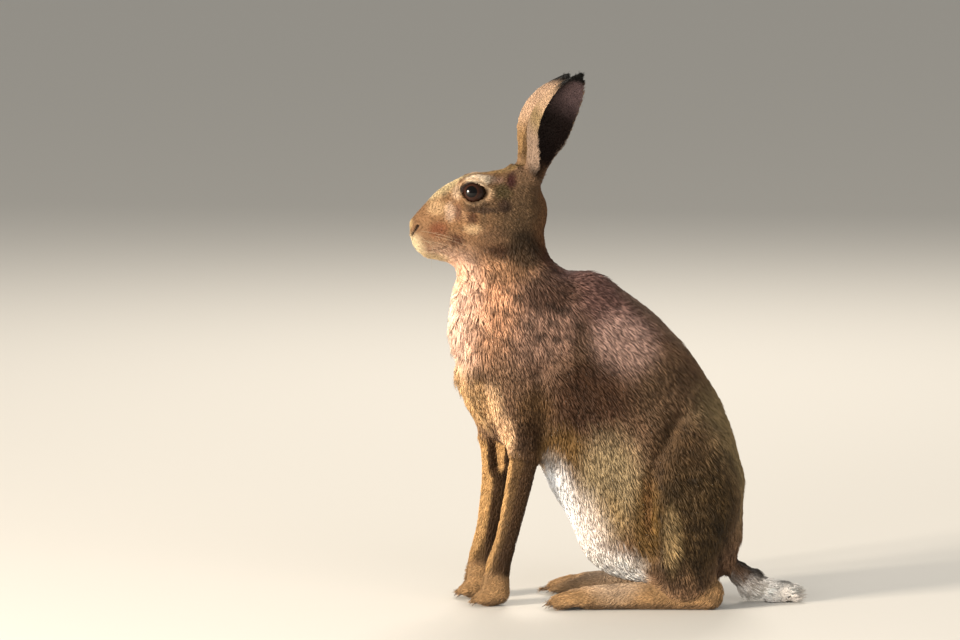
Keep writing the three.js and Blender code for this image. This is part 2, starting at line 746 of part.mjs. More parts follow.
for (const [name, sign] of Object.entries(sides)) {
  const at = [eyeCentre.x, sign * eyeCentre.y, eyeCentre.z];
  head = head.subtract(placed(ball(eyeRadius + socketGap, 16, 10), at));
  head = head.subtract(placed(almondBar, at, [sign < 0 ? Math.PI / 2 : -Math.PI / 2, 0, 0]));
  head = head.subtract(grooveAlong(mouthPath.map(([x, y, z]) => [x, sign * y, z]), 1.2));
  const nostrilLean = -THREE.MathUtils.degToRad(nostril.lean);
  const nostrilAt = [nostril.x, sign * nostril.y, nostril.z];
  head = head.subtract(placed(ball(1, 8, 6), nostrilAt, [0, nostrilLean, 0], nostril.half));
  parts.set(`eye_${name}`, placed(ball(eyeRadius, 14, 10), at));
  const { root, up } = earFrame(name);
  const turn = new THREE.Euler().setFromQuaternion(
    new THREE.Quaternion().setFromUnitVectors(new THREE.Vector3(0, 1, 0), up));
  const cap = root.clone().addScaledVector(up, earCap.length / 2 - seam);
  const capShape = new THREE.CylinderGeometry(earCap.radius, earCap.radius, earCap.length, 16);
  head = head.subtract(placed(capShape, cap.toArray(), [turn.x, turn.y, turn.z]));
  parts.set(`ear_${name}`, earSolid(name));
}
keep("head", head);

// Materials and the finished group
const coat = { fur: ["#9a7350", 0.95], eye: ["#6b4418", 0.12] };
const hare = new THREE.Group();
for (const [name, solid] of parts) {
  const mesh = solid.getMesh();
  const finish = name.startsWith("eye") ? coat.eye : coat.fur;
  const material = new THREE.MeshStandardMaterial({ color: finish[0], roughness: finish[1], metalness: 0 });
  const geometry = geometryOf(Array.from(mesh.vertProperties), Array.from(mesh.triVerts));
  const made = new THREE.Mesh(geometry, material);
  made.name = name;
  made.position.x = -originX;
  hare.add(made);
}

export default hare;
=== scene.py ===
import json
import math
import bpy
import numpy as np
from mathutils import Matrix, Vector
from mathutils.bvhtree import BVHTree
from mathutils.kdtree import KDTree

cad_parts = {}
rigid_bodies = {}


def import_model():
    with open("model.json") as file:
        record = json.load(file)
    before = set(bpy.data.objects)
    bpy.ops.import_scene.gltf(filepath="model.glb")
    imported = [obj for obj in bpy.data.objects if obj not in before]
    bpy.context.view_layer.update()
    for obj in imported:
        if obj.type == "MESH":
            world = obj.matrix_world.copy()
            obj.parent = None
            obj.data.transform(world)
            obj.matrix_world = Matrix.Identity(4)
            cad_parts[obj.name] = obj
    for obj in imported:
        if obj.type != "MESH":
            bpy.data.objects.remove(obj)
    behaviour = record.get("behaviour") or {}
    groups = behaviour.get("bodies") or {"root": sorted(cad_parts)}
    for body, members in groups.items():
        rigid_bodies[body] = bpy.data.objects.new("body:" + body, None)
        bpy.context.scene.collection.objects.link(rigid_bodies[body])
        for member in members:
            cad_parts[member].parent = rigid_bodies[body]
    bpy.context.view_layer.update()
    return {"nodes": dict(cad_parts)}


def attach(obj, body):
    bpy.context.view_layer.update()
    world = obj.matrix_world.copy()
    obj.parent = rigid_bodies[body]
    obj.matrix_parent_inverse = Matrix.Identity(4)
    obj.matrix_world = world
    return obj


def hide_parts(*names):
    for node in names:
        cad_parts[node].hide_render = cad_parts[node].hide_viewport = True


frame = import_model()
bpy.ops.object.select_all(action="DESELECT")
nodes = frame["nodes"]

# The hare faces -X, its left side is -Y. Places are given in millimetres in the drawing's own X,
# which starts originX before the middle of the hare, and y counts outwards on both sides.
mm = 0.001
originX = 23.2
sides = {"Left": -1, "Right": 1}
shift = np.array([originX, 0.0, 0.0])


def toFrame(points):
    return (np.asarray(points, dtype=float) - shift) * mm


def toDrawing(points):
    return np.asarray(points, dtype=float) / mm + shift


def linear(colour):
    parts = np.array([int(colour[i:i + 2], 16) for i in (1, 3, 5)]) / 255
    return np.where(parts <= 0.04045, parts / 12.92, ((parts + 0.055) / 1.055) ** 2.4)


def smoothStep(low, high, value):
    share = np.clip((value - low) / (high - low), 0, 1)
    return share * share * (3 - 2 * share)


def mirroredOf(spots):
    return np.column_stack([spots[:, 0], np.abs(spots[:, 1]), spots[:, 2]])


def unit(vectors):
    return vectors / np.maximum(np.linalg.norm(vectors, axis=-1, keepdims=True), 1e-9)


def activate(piece):
    bpy.ops.object.select_all(action="DESELECT")
    piece.select_set(True)
    bpy.context.view_layer.objects.active = piece


def applied(piece, kind, **settings):
    activate(piece)
    modifier = piece.modifiers.new(kind.title(), kind)
    for name, value in settings.items():
        setattr(modifier, name, value)
    bpy.ops.object.modifier_apply(modifier=modifier.name)


def placesOf(mesh):
    found = np.empty(len(mesh.vertices) * 3)
    mesh.vertices.foreach_get("co", found)
    return found.reshape(-1, 3)


def normalsOf(mesh):
    found = np.empty(len(mesh.vertices) * 3, dtype=np.float32)
    mesh.vertex_normals.foreach_get("vector", found)
    return found.reshape(-1, 3).astype(float)


def movePlaces(mesh, places):
    mesh.vertices.foreach_set("co", np.ascontiguousarray(places, dtype=np.float32).ravel())
    mesh.update()


def addNode(tree, kind, inputs=None, **settings):
    node = tree.nodes.new(kind)
    for name, value in settings.items():
        setattr(node, name, value)
    for name, value in (inputs or {}).items():
        socket = node.inputs[name]
        if isinstance(value, bpy.types.NodeSocket):
            tree.links.new(value, socket)
        else:
            socket.default_value = value
    return node


def newMaterial(name, **shader):
    material = bpy.data.materials.new(name)
    material.use_nodes = True
    tree = material.node_tree
    finish = tree.nodes["Principled BSDF"]
    for socket, value in shader.items():
        finish.inputs[socket.replace("_", " ")].default_value = value
    return material, tree, finish


# Markings of skin and coat, and painted light and shade: soft ovals laid over one another, each at x, y, z
# with its half sizes.
baseCoat = "#765a44"
markings = [
    ("back", (10, 0, 275), (80, 60, 55), "#6c4e4a", 0.8),
    ("shoulders", (-40, 40, 262), (38, 32, 50), "#8b6d5d", 0.8),
    # Painted sheen: a pale mauve patch on the back where the light catches the coat
    ("backSheen", (34, 42, 242), (35, 32, 33), "#a88a7e", 0.75),
    ("shoulderTop", (-32, 30, 285), (32, 30, 16), "#473125", 0.85),
    ("shoulderShade", (-2, 46, 236), (11, 36, 40), "#3c2b18", 0.65),
    ("spine", (60, 0, 262), (60, 22, 40), "#766250", 0.6),
    ("loin", (75, 30, 190), (45, 50, 45), "#3e2f1e", 0.7),
    ("rump", (125, 0, 140), (45, 60, 75), "#8a7854", 0.8),
    # A darker olive-brown coat on the haunch, darkened further by painted shade on the side of the thigh
    # turned from the light
    ("haunchCoatAndShade", (100, 62, 92), (52, 42, 72), "#3a2c16", 0.92),
    ("haunchTop", (84, 58, 150), (34, 34, 26), "#45331e", 0.6),
    ("flank", (5, 50, 195), (42, 34, 42), "#331c0d", 0.85),
    ("flankLow", (24, 48, 118), (34, 34, 50), "#968362", 0.9),
    # The next three: painted shade in the crease between flank and thigh, in two ovals, then a painted
    # highlight along the front edge of the thigh that faces the light
    ("kneeFoldShade", (56, 62, 84), (16, 34, 46), "#6a4f24", 0.75),
    ("thighCreaseShade", (57, 62, 105), (6, 24, 34), "#58381a", 0.6),
    ("thighFrontHighlight", (79, 66, 70), (8, 24, 32), "#a48a60", 0.75),
    # Painted shade in the hollow behind the elbow
    ("armpitShade", (-20, 40, 150), (26, 24, 22), "#674c16", 0.6),
    ("flankPale", (20, 50, 84), (22, 30, 26), "#a08357", 0.6),
    ("elbowUp", (-44, 44, 184), (20, 26, 22), "#4a320d", 0.6),
    ("belly", (0, 0, 66), (44, 52, 66), "#f6ebe3", 0.98),
    ("bellyFront", (-24, 0, 108), (25, 44, 50), "#f7f7f7", 0.95),
    ("bellyLow", (32, 40, 32), (30, 44, 26), "#fbf5ee", 0.95),
    ("chestSide", (-84, 34, 272), (30, 28, 48), "#dca680", 0.8),
    # The next three: painted light on the lit front of the upper arm, twice, then painted shade behind the
    # arm
    ("armHighlightHigh", (-79, 44, 190), (9, 26, 22), "#e6be92", 0.8),
    ("armHighlightLow", (-68, 44, 158), (8, 26, 24), "#f0c69a", 0.92),
    ("armShade", (-46, 44, 158), (13, 26, 26), "#33200f", 0.9),
    ("breast", (-112, 0, 250), (44, 46, 78), "#f2ccb5", 0.95),
    ("breastLow", (-96, 16, 196), (30, 34, 34), "#d1a974", 0.85),
    ("neckSide", (-66, 30, 314), (30, 20, 20), "#8c684a", 0.8),
    ("nape", (-34, 0, 346), (18, 36, 52), "#40200f", 0.9),
    ("throat", (-108, 0, 300), (22, 26, 16), "#e0b394", 0.9),
    ("head", (-95, 0, 355), (70, 45, 42), "#886442", 0.9),
    ("crown", (-80, 0, 396), (40, 14, 12), "#8e7446", 0.7),
    # Painted highlight along the top of the nose, where the light falls on it
    ("bridgeHighlight", (-122, 0, 376), (34, 13, 16), "#cdb98f", 0.8),
    ("bridgeSide", (-128, 11, 358), (12, 10, 7), "#bf9e76", 0.65),
    ("rearCheek", (-58, 26, 350), (14, 20, 26), "#6e553e", 0.7),
    ("headBack", (-60, 28, 362), (30, 28, 38), "#4d3c29", 0.75),
    ("lowCheek", (-80, 22, 335), (17, 14, 9), "#5d4531", 0.6),
    ("muzzleSide", (-126, 12, 338), (11, 9, 9), "#6e3820", 0.75),
    ("muzzleBack", (-112, 16, 331), (9, 9, 6), "#3f1b0d", 0.8),
    ("cheekPaleA", (-118, 18, 355), (5, 12, 9), "#b99e88", 0.7),
    ("cheekDarkA", (-111, 20, 355), (3.5, 12, 8), "#624037", 0.6),
    ("cheekPaleB", (-105, 22, 354), (3, 12, 8), "#b08967", 0.5),
    ("cheekDarkB", (-98, 23, 351), (5, 12, 6), "#3b1b0d", 0.8),
    ("cheekPaleC", (-89, 25, 350), (4, 12, 10), "#523f2a", 0.65),
    ("cheekPaleD", (-97, 22, 341), (9, 12, 5), "#c3a67f", 0.6),
    ("jawShade", (-74, 20, 323), (18, 18, 8), "#2b1509", 0.88),
    ("neckShade", (-51, 26, 325), (17, 24, 19), "#22180c", 0.85),
    ("lip", (-146, 0, 325), (11, 14, 12), "#d8c6a0", 0.9),
    ("chin", (-132, 0, 315), (17, 14, 7), "#b49c76", 0.85),
    ("noseTip", (-152, 0, 342), (7, 6, 6), "#c6ac7c", 0.7),
    ("browPale", (-93, 24, 386), (17, 12, 6), "#ead6ba", 0.85),
    ("underEye", (-94, 26, 363), (15, 12, 4), "#302519", 0.7),
    ("underEyeLine", (-90, 26, 358), (19, 12, 3), "#170d0d", 0.7),
    ("eyeFront", (-112, 20, 373), (6, 10, 8), "#e5caac", 0.5),
    ("eyeBack", (-80, 25, 387), (5, 10, 7), "#411c16", 0.6),
    ("templePale", (-74, 25, 386), (6, 10, 6), "#a5837b", 0.5),
    ("templeOlive", (-72, 27, 375), (11, 12, 9), "#302a10", 0.75),
    # Painted shade in the fold at the base of the ear
    ("earBaseShade", (-63.5, 22, 384), (5.5, 14, 8), "#2f0f0a", 0.98),
    ("earRootShade", (-40, 25, 396), (7, 20, 12), "#1d140c", 0.92),
    ("cheekSpot", (-69, 27, 362), (7, 12, 7), "#1c0a07", 0.75),
    ("tailUnder", (168, 0, 12), (46, 18, 22), "#f2ebe2", 0.95),
    ("tailTop", (156, 0, 36), (34, 11, 13), "#1d1713", 0.93),
    ("tailEnd", (186, 0, 26), (16, 8, 10), "#1d1713", 0.9),
]
# Leg tones: front is painted light and back painted shade, chosen by which way the skin faces; middle lies
# between, and foot and sole are the feet's own tones
legTones = {
    "front": "#bf9661", "middle": "#5c4426", "back": "#38240f", "foot": "#94744e", "sole": "#6a5238",
}
# The dark tone of the ear's hollow is painted shade, and the streak tone is painted shade on the far ear
# beside the near one
earTones = {
    "front": "#86704f", "frontPale": "#bc9c80", "lowFront": "#86663c", "streak": "#3c2812",
    "rootPale": "#8a7466", "side": "#8c7050", "rim": "#c4b08c", "cup": "#1e130f", "cupBack": "#6b5654",
    "tip": "#0c0a09",
}
# Where the front tone of each ear begins across it, and which tone that is
earFronts = {"Left": (0.0, "front"), "Right": (-0.6, "frontPale")}
# Half width and depth of the ear at shares of its height, and how far its middle bulges
earOutline = {
    "height": [0, 0.12, 0.22, 0.33, 0.46, 0.6, 0.72, 0.83, 0.92, 1],
    "half": [10, 10.3, 15.7, 22.7, 27, 27, 25, 20, 12, 4],
    "deep": [10.3, 12, 15.4, 20, 22.4, 22, 19, 13, 7, 2],
    "bulge": 9,
}
eyePlan = {
    "at": (-95.5, 18.8, 373.2), "radius": 11.3, "facing": (-0.2, 0.97, 0.1), "lean": -8,
    "opening": (10.0, 7.3), "lid": 1.1, "pupil": 5.2, "iris": 9.2, "margin": 6, "rim": "#1c100c",
    "ring": "#d6b48e",
}
earPlan = {
    "Left": {"root": (-44.5, -15, 391), "tip": (1, -37, 481), "openTo": -36},
    "Right": {"root": (-52, 15, 391), "tip": (-10, 35, 476), "openTo": 34},
}
# Toes and claws of each foot: a place on it, how far ahead of that the toes reach, and how far apart
clawPlan = {
    "Fore": {
        "at": (-77, 24), "step": 14, "reach": 17, "spread": 7.6, "radius": 1.7, "length": 9, "height": 5.4,
        "furrow": 9,
    },
    "Hind": {
        "at": (116, 42), "step": 0, "reach": 142, "spread": 8.6, "radius": 2.1, "length": 10.5, "height": 6,
        "furrow": 24,
    },
}


def earAxes(side):
    plan = earPlan[side]
    root = np.array(plan["root"], dtype=float)
    reach = np.array(plan["tip"], dtype=float) - root
    up = unit(reach)
    turn = math.radians(plan["openTo"])
    opening = np.array([math.cos(turn), math.sin(turn), 0])
    opening = unit(opening - up * opening.dot(up))
    return root, np.linalg.norm(reach), up, opening


def eyeAxes(side):
    sign = sides[side]
    centre = np.array(eyePlan["at"]) * (1, sign, 1)
    out = unit(np.array(eyePlan["facing"]) * (1, sign, 1))
    ahead = unit(np.cross(out, (0, 0, 1)) * sign)
    lean = math.radians(eyePlan["lean"])
    up = np.cross(ahead, out) * sign
    along = ahead * math.cos(lean) + up * math.sin(lean)
    return centre, out, along, np.cross(along, out) * sign


def markingColours(spots, normals, zone):
    mirrored = mirroredOf(spots)
    colour = np.repeat(linear(baseCoat)[None], len(spots), axis=0)
    for _, at, half, tone, strength in markings:
        share = np.linalg.norm((mirrored - at) / np.array(half), axis=1)
        weight = strength * (1 - smoothStep(0.5, 1.3, share))
        colour += (linear(tone) - colour) * weight[:, None]
    colour = legColours(colour, spots, normals, zone)
    return rimColours(earColours(colour, spots, normals, zone), spots)


def legColours(colour, spots, normals, zone):
    # Painted light and shade: a leg is lighter where it faces forward towards the light and darker at its
    # rear
    ahead = -normals[:, 0]
    leg = np.repeat(linear(legTones["back"])[None], len(spots), axis=0)
    leg += (linear(legTones["middle"]) - leg) * smoothStep(-0.1, 0.4, ahead)[:, None]
    inward = -normals[:, 1] * np.sign(spots[:, 1])
    leg += (linear(legTones["front"]) - leg) * smoothStep(0.2, 0.6, ahead + 0.3 * inward)[:, None]
    leg *= 1 - 0.25 * smoothStep(90, 50, spots[:, 2])[:, None]
    colour = colour + (leg - colour) * (0.92 * zone["leg"])[:, None]
    foot = np.repeat(linear(legTones["foot"])[None], len(spots), axis=0)
    under = smoothStep(-0.1, -0.7, normals[:, 2])[:, None]
    foot += (linear(legTones["sole"]) - foot) * under
    # Painted shade in the furrows between the toes
    foot *= 1 - 0.35 * smoothStep(3.4, 1, toeDistance(spots))[:, None]
    return colour + (foot - colour) * (0.85 * zone["foot"])[:, None]


def blended(tone, name, share):
    return tone + (linear(earTones[name]) - tone) * np.clip(share, 0, 1)[:, None]


# across grows from the ear's rear rim at -1 to its front rim at 1
def earColours(colour, spots, normals, zone):
    for side, sign in sides.items():
        root, length, up, opening = earAxes(side)
        here = zone["ear"] * (spots[:, 1] * sign > 0)
        height = (spots - root).dot(up) / length
        sideways = np.cross(up, opening)
        sideways *= -np.sign(sideways[0])
        deep = 0.4 * np.interp(height, earOutline["height"], earOutline["deep"])
        bend = deep - earOutline["bulge"] * np.sin(math.pi * np.clip(height, 0, 1))
        away = spots - root - np.outer(height * length, up) - np.outer(bend, opening)
        within = -(normals * unit(away)).sum(axis=1)
        across = away.dot(sideways) / np.interp(height, earOutline["height"], earOutline["half"])
        outer = np.repeat(linear(earTones["side"])[None], len(spots), axis=0)
        begins, front = earFronts[side]
        outer = blended(outer, front, smoothStep(begins, begins + 0.4, across))
        if side == "Right":
            outer = blended(outer, "lowFront", 0.9 * smoothStep(0.5, 0.25, height))
            # Painted shade down the rear of the far ear's lower half, where the near ear lies beside it
            streak = 0.7 * smoothStep(-0.05, -0.3, across) * smoothStep(0.48, 0.36, height)
            outer = blended(outer, "streak", streak)
        else:
            outer = blended(outer, "rootPale", 0.8 * smoothStep(0.5, 0.3, height))
            outer = blended(outer, "frontPale", 0.75 * smoothStep(0.5, 0.65, height) * (across > 0))
        outer = blended(outer, "tip", smoothStep(0.8, 0.92, height + 0.07 * np.clip(across, 0, 1)))
        # Inside the ear: the dark hollow is painted shade, with a paler rear, a pale rim and the black tip
        inner = np.repeat(linear(earTones["cup"])[None], len(spots), axis=0)
        inner = blended(inner, "cupBack", smoothStep(0.2, -0.6, across) * smoothStep(0.45, 0.75, height))
        inner = blended(inner, "rim", 0.7 * smoothStep(-0.95, -1.02, across) * smoothStep(0.8, 0.6, height))
        inner = blended(inner, "tip", smoothStep(0.55, 0.75, across) * smoothStep(0.4, 0.55, height))
        inner = blended(inner, "tip", smoothStep(0.84, 0.9, height))
        tone = outer + (inner - outer) * smoothStep(0.0, 0.3, within)[:, None]
        weight = here * smoothStep(0.0, 0.14, height)
        colour = colour + (tone - colour) * weight[:, None]
    return colour


def rimColours(colour, spots):
    for side in sides:
        centre, _, _, up = eyeAxes(side)
        share, depth = eyeShare(spots, side)
        near = np.linalg.norm(spots - centre, axis=1) < eyePlan["radius"] + eyePlan["margin"]
        weight = smoothStep(1.32, 1.12, share) * near * (depth > 0)
        colour = colour + (linear(eyePlan["rim"]) - colour) * weight[:, None]
        above = (spots - centre).dot(up)
        ring = np.exp(-((share - 1.52) / 0.17) ** 2)
        weight = (0.5 + 0.25 * np.tanh(above / 4)) * ring * near * (depth > 0)
        colour = colour + (linear(eyePlan["ring"]) - colour) * weight[:, None]
    mirrored = mirroredOf(spots)
    # Painted shade in the grooves of the mouth, the cleft of the lip and the nostrils, in the lid rim's dark
    # tone
    for name, line, radius, _ in faceGrooves:
        strength = 0.9 if name == "nostril" else 0.6
        weight = smoothStep(1.2, 0.5, distanceToLine(mirrored, line) / radius) * strength
        colour = colour + (linear(eyePlan["rim"]) - colour) * weight[:, None]
    return colour


# Coat of each node: how deep it lies, and the length, width, number to a square millimetre,
# rise, tip height and clumping of its tufts. Lengths are in millimetres.
coatOf = {
    "head": (1.2, 4.4, 0.6, 1.5, 0.28, 0.13, 0.3),
    "ear": (0.45, 3.4, 0.5, 1.2, 0.20, 0.08, 0.1),
    "neck": (2.0, 11, 0.9, 0.66, 0.32, 0.16, 0.3),
    "torso": (3.0, 13, 0.95, 0.52, 0.26, 0.12, 0.2),
    "rump": (3.0, 13, 0.95, 0.5, 0.28, 0.13, 0.25),
    "tail": (2.6, 14, 1.2, 1.7, 0.3, 0.16, 0.25),
    "upper_arm": (2.6, 11, 0.9, 0.56, 0.28, 0.13, 0.25),
    "forearm": (1.4, 6.5, 0.65, 0.85, 0.22, 0.08, 0.2),
    "forepaw": (1.2, 5, 0.6, 1.1, 0.2, 0.07, 0.06),
    "thigh": (3.0, 13, 0.95, 0.5, 0.28, 0.13, 0.25),
    "shank": (2.6, 11, 0.95, 0.54, 0.28, 0.13, 0.25),
    "hind_foot": (1.2, 6, 0.65, 1.0, 0.2, 0.07, 0.06),
}
coatNames = ("depth", "length", "width", "number", "rise", "tip", "clump")
skinPlan = {
    "voxel": 2.5, "fineVoxel": 1.0, "swell": 0.25, "earSwell": 0.9, "bodySmooth": 70, "fineSmooth": 26,
    "neckSmooth": 0.5, "spread": 14, "rootRounds": 30, "earGap": 4, "floorGap": 0.4,
}
fleshNodes = [name for name in nodes if not name.startswith("eye")]
fineKinds = ("head", "ear", "forearm", "forepaw", "hind_foot", "tail")


def kindOf(node):
    return next(kind for kind in sorted(coatOf, key=len, reverse=True) if node.startswith(kind))


# The ears stand only a millimetre apart, so they are moved apart while the skin is drawn over them
def earsMoved(spots, sign, way):
    moved = spots.copy()
    moved[:, 1] += way * sign * skinPlan["earGap"] * smoothStep(402, 420, spots[:, 2])
    return moved


def joinedCopy(name, names):
    bpy.ops.object.select_all(action="DESELECT")
    for node in names:
        nodes[node].select_set(True)
    bpy.context.view_layer.objects.active = nodes[names[0]]
    bpy.ops.object.duplicate()
    copies = list(bpy.context.selected_objects)
    for piece in copies:
        activate(piece)
        bpy.ops.object.parent_clear(type="CLEAR_KEEP_TRANSFORM")
        kind = kindOf(piece.name)
        bpy.ops.object.mode_set(mode="EDIT")
        bpy.ops.mesh.select_all(action="SELECT")
        bpy.ops.mesh.remove_doubles(threshold=1e-6)
        bpy.ops.object.mode_set(mode="OBJECT")
        swell = skinPlan["earSwell" if kind == "ear" and name == "hareSkin" else "swell"]
        spots = toDrawing(placesOf(piece.data)) + normalsOf(piece.data) * swell
        if kind == "ear":
            spots = earsMoved(spots, sides["Left" if "left" in piece.name else "Right"], 1)
        movePlaces(piece.data, toFrame(spots))
    bpy.ops.object.select_all(action="DESELECT")
    for piece in copies:
        piece.select_set(True)
    bpy.context.view_layer.objects.active = copies[0]
    if len(copies) > 1:
        bpy.ops.object.join()
    copies[0].name = name
    copies[0].data.name = name
    return copies[0]


# Which kind of node lies nearest to each spot
def nearestKinds(places):
    corners = []
    faces = []
    owner = []
    start = 0
    kinds = list(coatOf)
    for name in fleshNodes:
        mesh = nodes[name].data
        corners.append(placesOf(mesh))
        faces += [[start + v for v in face.vertices] for face in mesh.polygons]
        owner += [kinds.index(kindOf(name))] * len(mesh.polygons)
        start += len(mesh.vertices)
    tree = BVHTree.FromPolygons(np.concatenate(corners).tolist(), faces)
    found = [tree.find_nearest(spot)[2] for spot in places.tolist()]
    return np.array(owner)[np.array(found)]


def neighbourMean(mesh, values, rounds):
    edges = np.empty(len(mesh.edges) * 2, dtype=np.int64)
    mesh.edges.foreach_get("vertices", edges)
    a, b = edges.reshape(-1, 2).T
    count = np.bincount(a, minlength=len(values)) + np.bincount(b, minlength=len(values))
    for _ in range(rounds):
        total = np.empty_like(values)
        for k in range(values.shape[1]):
            total[:, k] = np.bincount(a, values[b, k], len(values))
            total[:, k] += np.bincount(b, values[a, k], len(values))
        values = 0.4 * values + 0.6 * total / np.maximum(count, 1)[:, None]
    return values


def selectVertices(mesh, chosen):
    mesh.vertices.foreach_set("select", chosen)
    edges = np.empty(len(mesh.edges) * 2, dtype=np.int64)
    mesh.edges.foreach_get("vertices", edges)
    mesh.edges.foreach_set("select", chosen[edges.reshape(-1, 2)].all(axis=1))
    starts = np.empty(len(mesh.polygons), dtype=np.int64)
    mesh.polygons.foreach_get("loop_start", starts)
    loops = np.empty(len(mesh.loops), dtype=np.int64)
    mesh.loops.foreach_get("vertex_index", loops)
    mesh.polygons.foreach_set("select", np.logical_and.reduceat(chosen[loops], starts))


def subdivideWhere(piece, chosen):
    activate(piece)
    bpy.ops.object.mode_set(mode="EDIT")
    bpy.ops.mesh.select_all(action="DESELECT")
    bpy.ops.mesh.select_mode(type="FACE")
    bpy.ops.object.mode_set(mode="OBJECT")
    selectVertices(piece.data, chosen)
    bpy.ops.object.mode_set(mode="EDIT")
    bpy.ops.mesh.subdivide(number_cuts=1)
    bpy.ops.object.mode_set(mode="OBJECT")


def keepLargest(piece):
    activate(piece)
    bpy.ops.object.mode_set(mode="EDIT")
    bpy.ops.mesh.select_all(action="DESELECT")
    bpy.ops.object.mode_set(mode="OBJECT")
    top = int(np.argmin(placesOf(piece.data)[:, 0]))
    piece.data.vertices[top].select = True
    bpy.ops.object.mode_set(mode="EDIT")
    bpy.ops.mesh.select_mode(type="VERT")
    bpy.ops.mesh.select_linked()
    bpy.ops.mesh.select_all(action="INVERT")
    bpy.ops.mesh.delete(type="VERT")
    bpy.ops.object.mode_set(mode="OBJECT")


def smoothBy(piece, weights, rounds):
    group = piece.vertex_groups.new(name="soft")
    steps = np.round(np.clip(weights, 0, 1) * 10).astype(int)
    for step in range(1, 11):
        group.add(np.nonzero(steps == step)[0].tolist(), step / 10, "REPLACE")
    applied(piece, "SMOOTH", factor=0.5, iterations=rounds, vertex_group="soft")
    piece.vertex_groups.clear()


# 1 where an ear grows out of the head, falling to 0 around it
def earRootShare(spots):
    share = np.zeros(len(spots))
    for side in sides:
        root, _, up, _ = earAxes(side)
        share = np.maximum(share, smoothStep(1.3, 0.6, np.linalg.norm(spots - root + 3 * up, axis=1) / 19))
    return share


def makeSkin():
    skin = joinedCopy("hareSkin", fleshNodes)
    applied(skin, "REMESH", mode="VOXEL", voxel_size=skinPlan["voxel"] * mm)
    keepLargest(skin)
    kinds = nearestKinds(placesOf(skin.data))
    fine = np.isin(kinds, [list(coatOf).index(kind) for kind in fineKinds])
    soft = (~fine) * np.where(kinds == list(coatOf).index("neck"), skinPlan["neckSmooth"], 1.0)
    soft = neighbourMean(skin.data, soft[:, None], 4)[:, 0]
    smoothBy(skin, soft, skinPlan["bodySmooth"])
    subdivideWhere(skin, fine)
    target = joinedCopy("fineForm", fleshNodes)
    applied(target, "REMESH", mode="VOXEL", voxel_size=skinPlan["fineVoxel"] * mm)
    targetKinds = nearestKinds(placesOf(target.data))
    thin = (targetKinds == list(coatOf).index("ear")) * 0.75
    smoothBy(target, 1 - thin, skinPlan["fineSmooth"])
    kinds = nearestKinds(placesOf(skin.data))
    fine = np.isin(kinds, [list(coatOf).index(kind) for kind in fineKinds]).astype(float)
    fine = smoothStep(0.35, 0.9, neighbourMean(skin.data, fine[:, None], 6)[:, 0])
    surface = BVHTree.FromObject(target, bpy.context.evaluated_depsgraph_get())
    places = placesOf(skin.data)
    for i in np.nonzero(fine > 0.01)[0]:
        near = np.array(surface.find_nearest(places[i])[0])
        places[i] += (near - places[i]) * fine[i]
    spots = toDrawing(places)
    spots = earsMoved(spots, np.sign(spots[:, 1]), -1)
    movePlaces(skin.data, toFrame(spots))
    bpy.data.objects.remove(target)
    smoothBy(skin, earRootShare(spots), skinPlan["rootRounds"])
    print("skin faces", len(skin.data.polygons))
    return skin


# 1 inside a soft oval and 0 outside it, fading between the shares begins and ends of its half sizes
def insideOval(spots, at, half, begins, ends):
    return 1 - smoothStep(begins, ends, np.linalg.norm((spots - at) / half, axis=1))


def coatFields(skin):
    kinds = nearestKinds(placesOf(skin.data))
    table = np.array([coatOf[kind] for kind in coatOf])
    names = list(coatOf)
    marks = [kinds == names.index("ear"), kinds == names.index("forearm"),
             np.isin(kinds, [names.index("forepaw"), names.index("hind_foot")])]
    values = np.column_stack([table[kinds]] + [m.astype(float) for m in marks])
    values = neighbourMean(skin.data, values, skinPlan["spread"])
    fields = {name: values[:, k] for k, name in enumerate(coatNames + ("ear", "leg", "foot"))}
    spots = toDrawing(placesOf(skin.data))
    nose = 1 - smoothStep(14, 44, np.linalg.norm(spots - (-150, 0, 335), axis=1))
    breast = insideOval(spots, (-104, 0, 262), (42, 60, 62), 0.7, 1.3)
    belly = insideOval(spots, (4, 0, 66), (52, 50, 80), 0.8, 1.2)
    fields["length"] *= 1 - 0.55 * nose
    fields["width"] *= 1 - 0.35 * nose
    fields["number"] *= 1 + 0.5 * nose
    fields["depth"] *= 1 - 0.4 * nose
    fields["clump"] += 0.35 * breast
    fields["rise"] += 0.12 * breast
    fields["tip"] += 0.1 * breast
    fields["length"] += 4 * breast
    fields["breast"] = breast
    # Where painted shade darkens the gaps between the locks on neck and shoulders
    fields["curly"] = insideOval(spots, (-50, 0, 268), (62, 80, 50), 0.7, 1.2)
    for name, drop in (("rise", 0.35), ("tip", 0.35), ("clump", 0.6)):
        fields[name] *= 1 - drop * belly
    fields["grizzled"] = insideOval(spots * (1, 0, 1), (104, 0, 92), (46, 1, 86), 0.7, 1.2)
    fields["face"] = insideOval(spots, (-100, 0, 355), (66, 60, 48), 0.8, 1.2)
    return fields


# Grooves pressed into the skin of the face along lines: points, radius and depth of each
faceGrooves = [
    ("mouth", [
        (-151, 0, 322.5), (-146.5, 6, 319.6), (-138, 11.5, 318.4), (-128, 15.4, 320), (-119, 18, 324),
    ], 1.6, 1.5),
    ("cleft", [(-155, 0, 336), (-152.5, 0, 330), (-151, 0, 323)], 1.4, 1.5),
    ("nostril", [
        (-145.4, 7.6, 341.5), (-147.2, 6.9, 338), (-149.2, 5.5, 334.8), (-150.4, 3.8, 333),
    ], 2.1, 3.2),
]
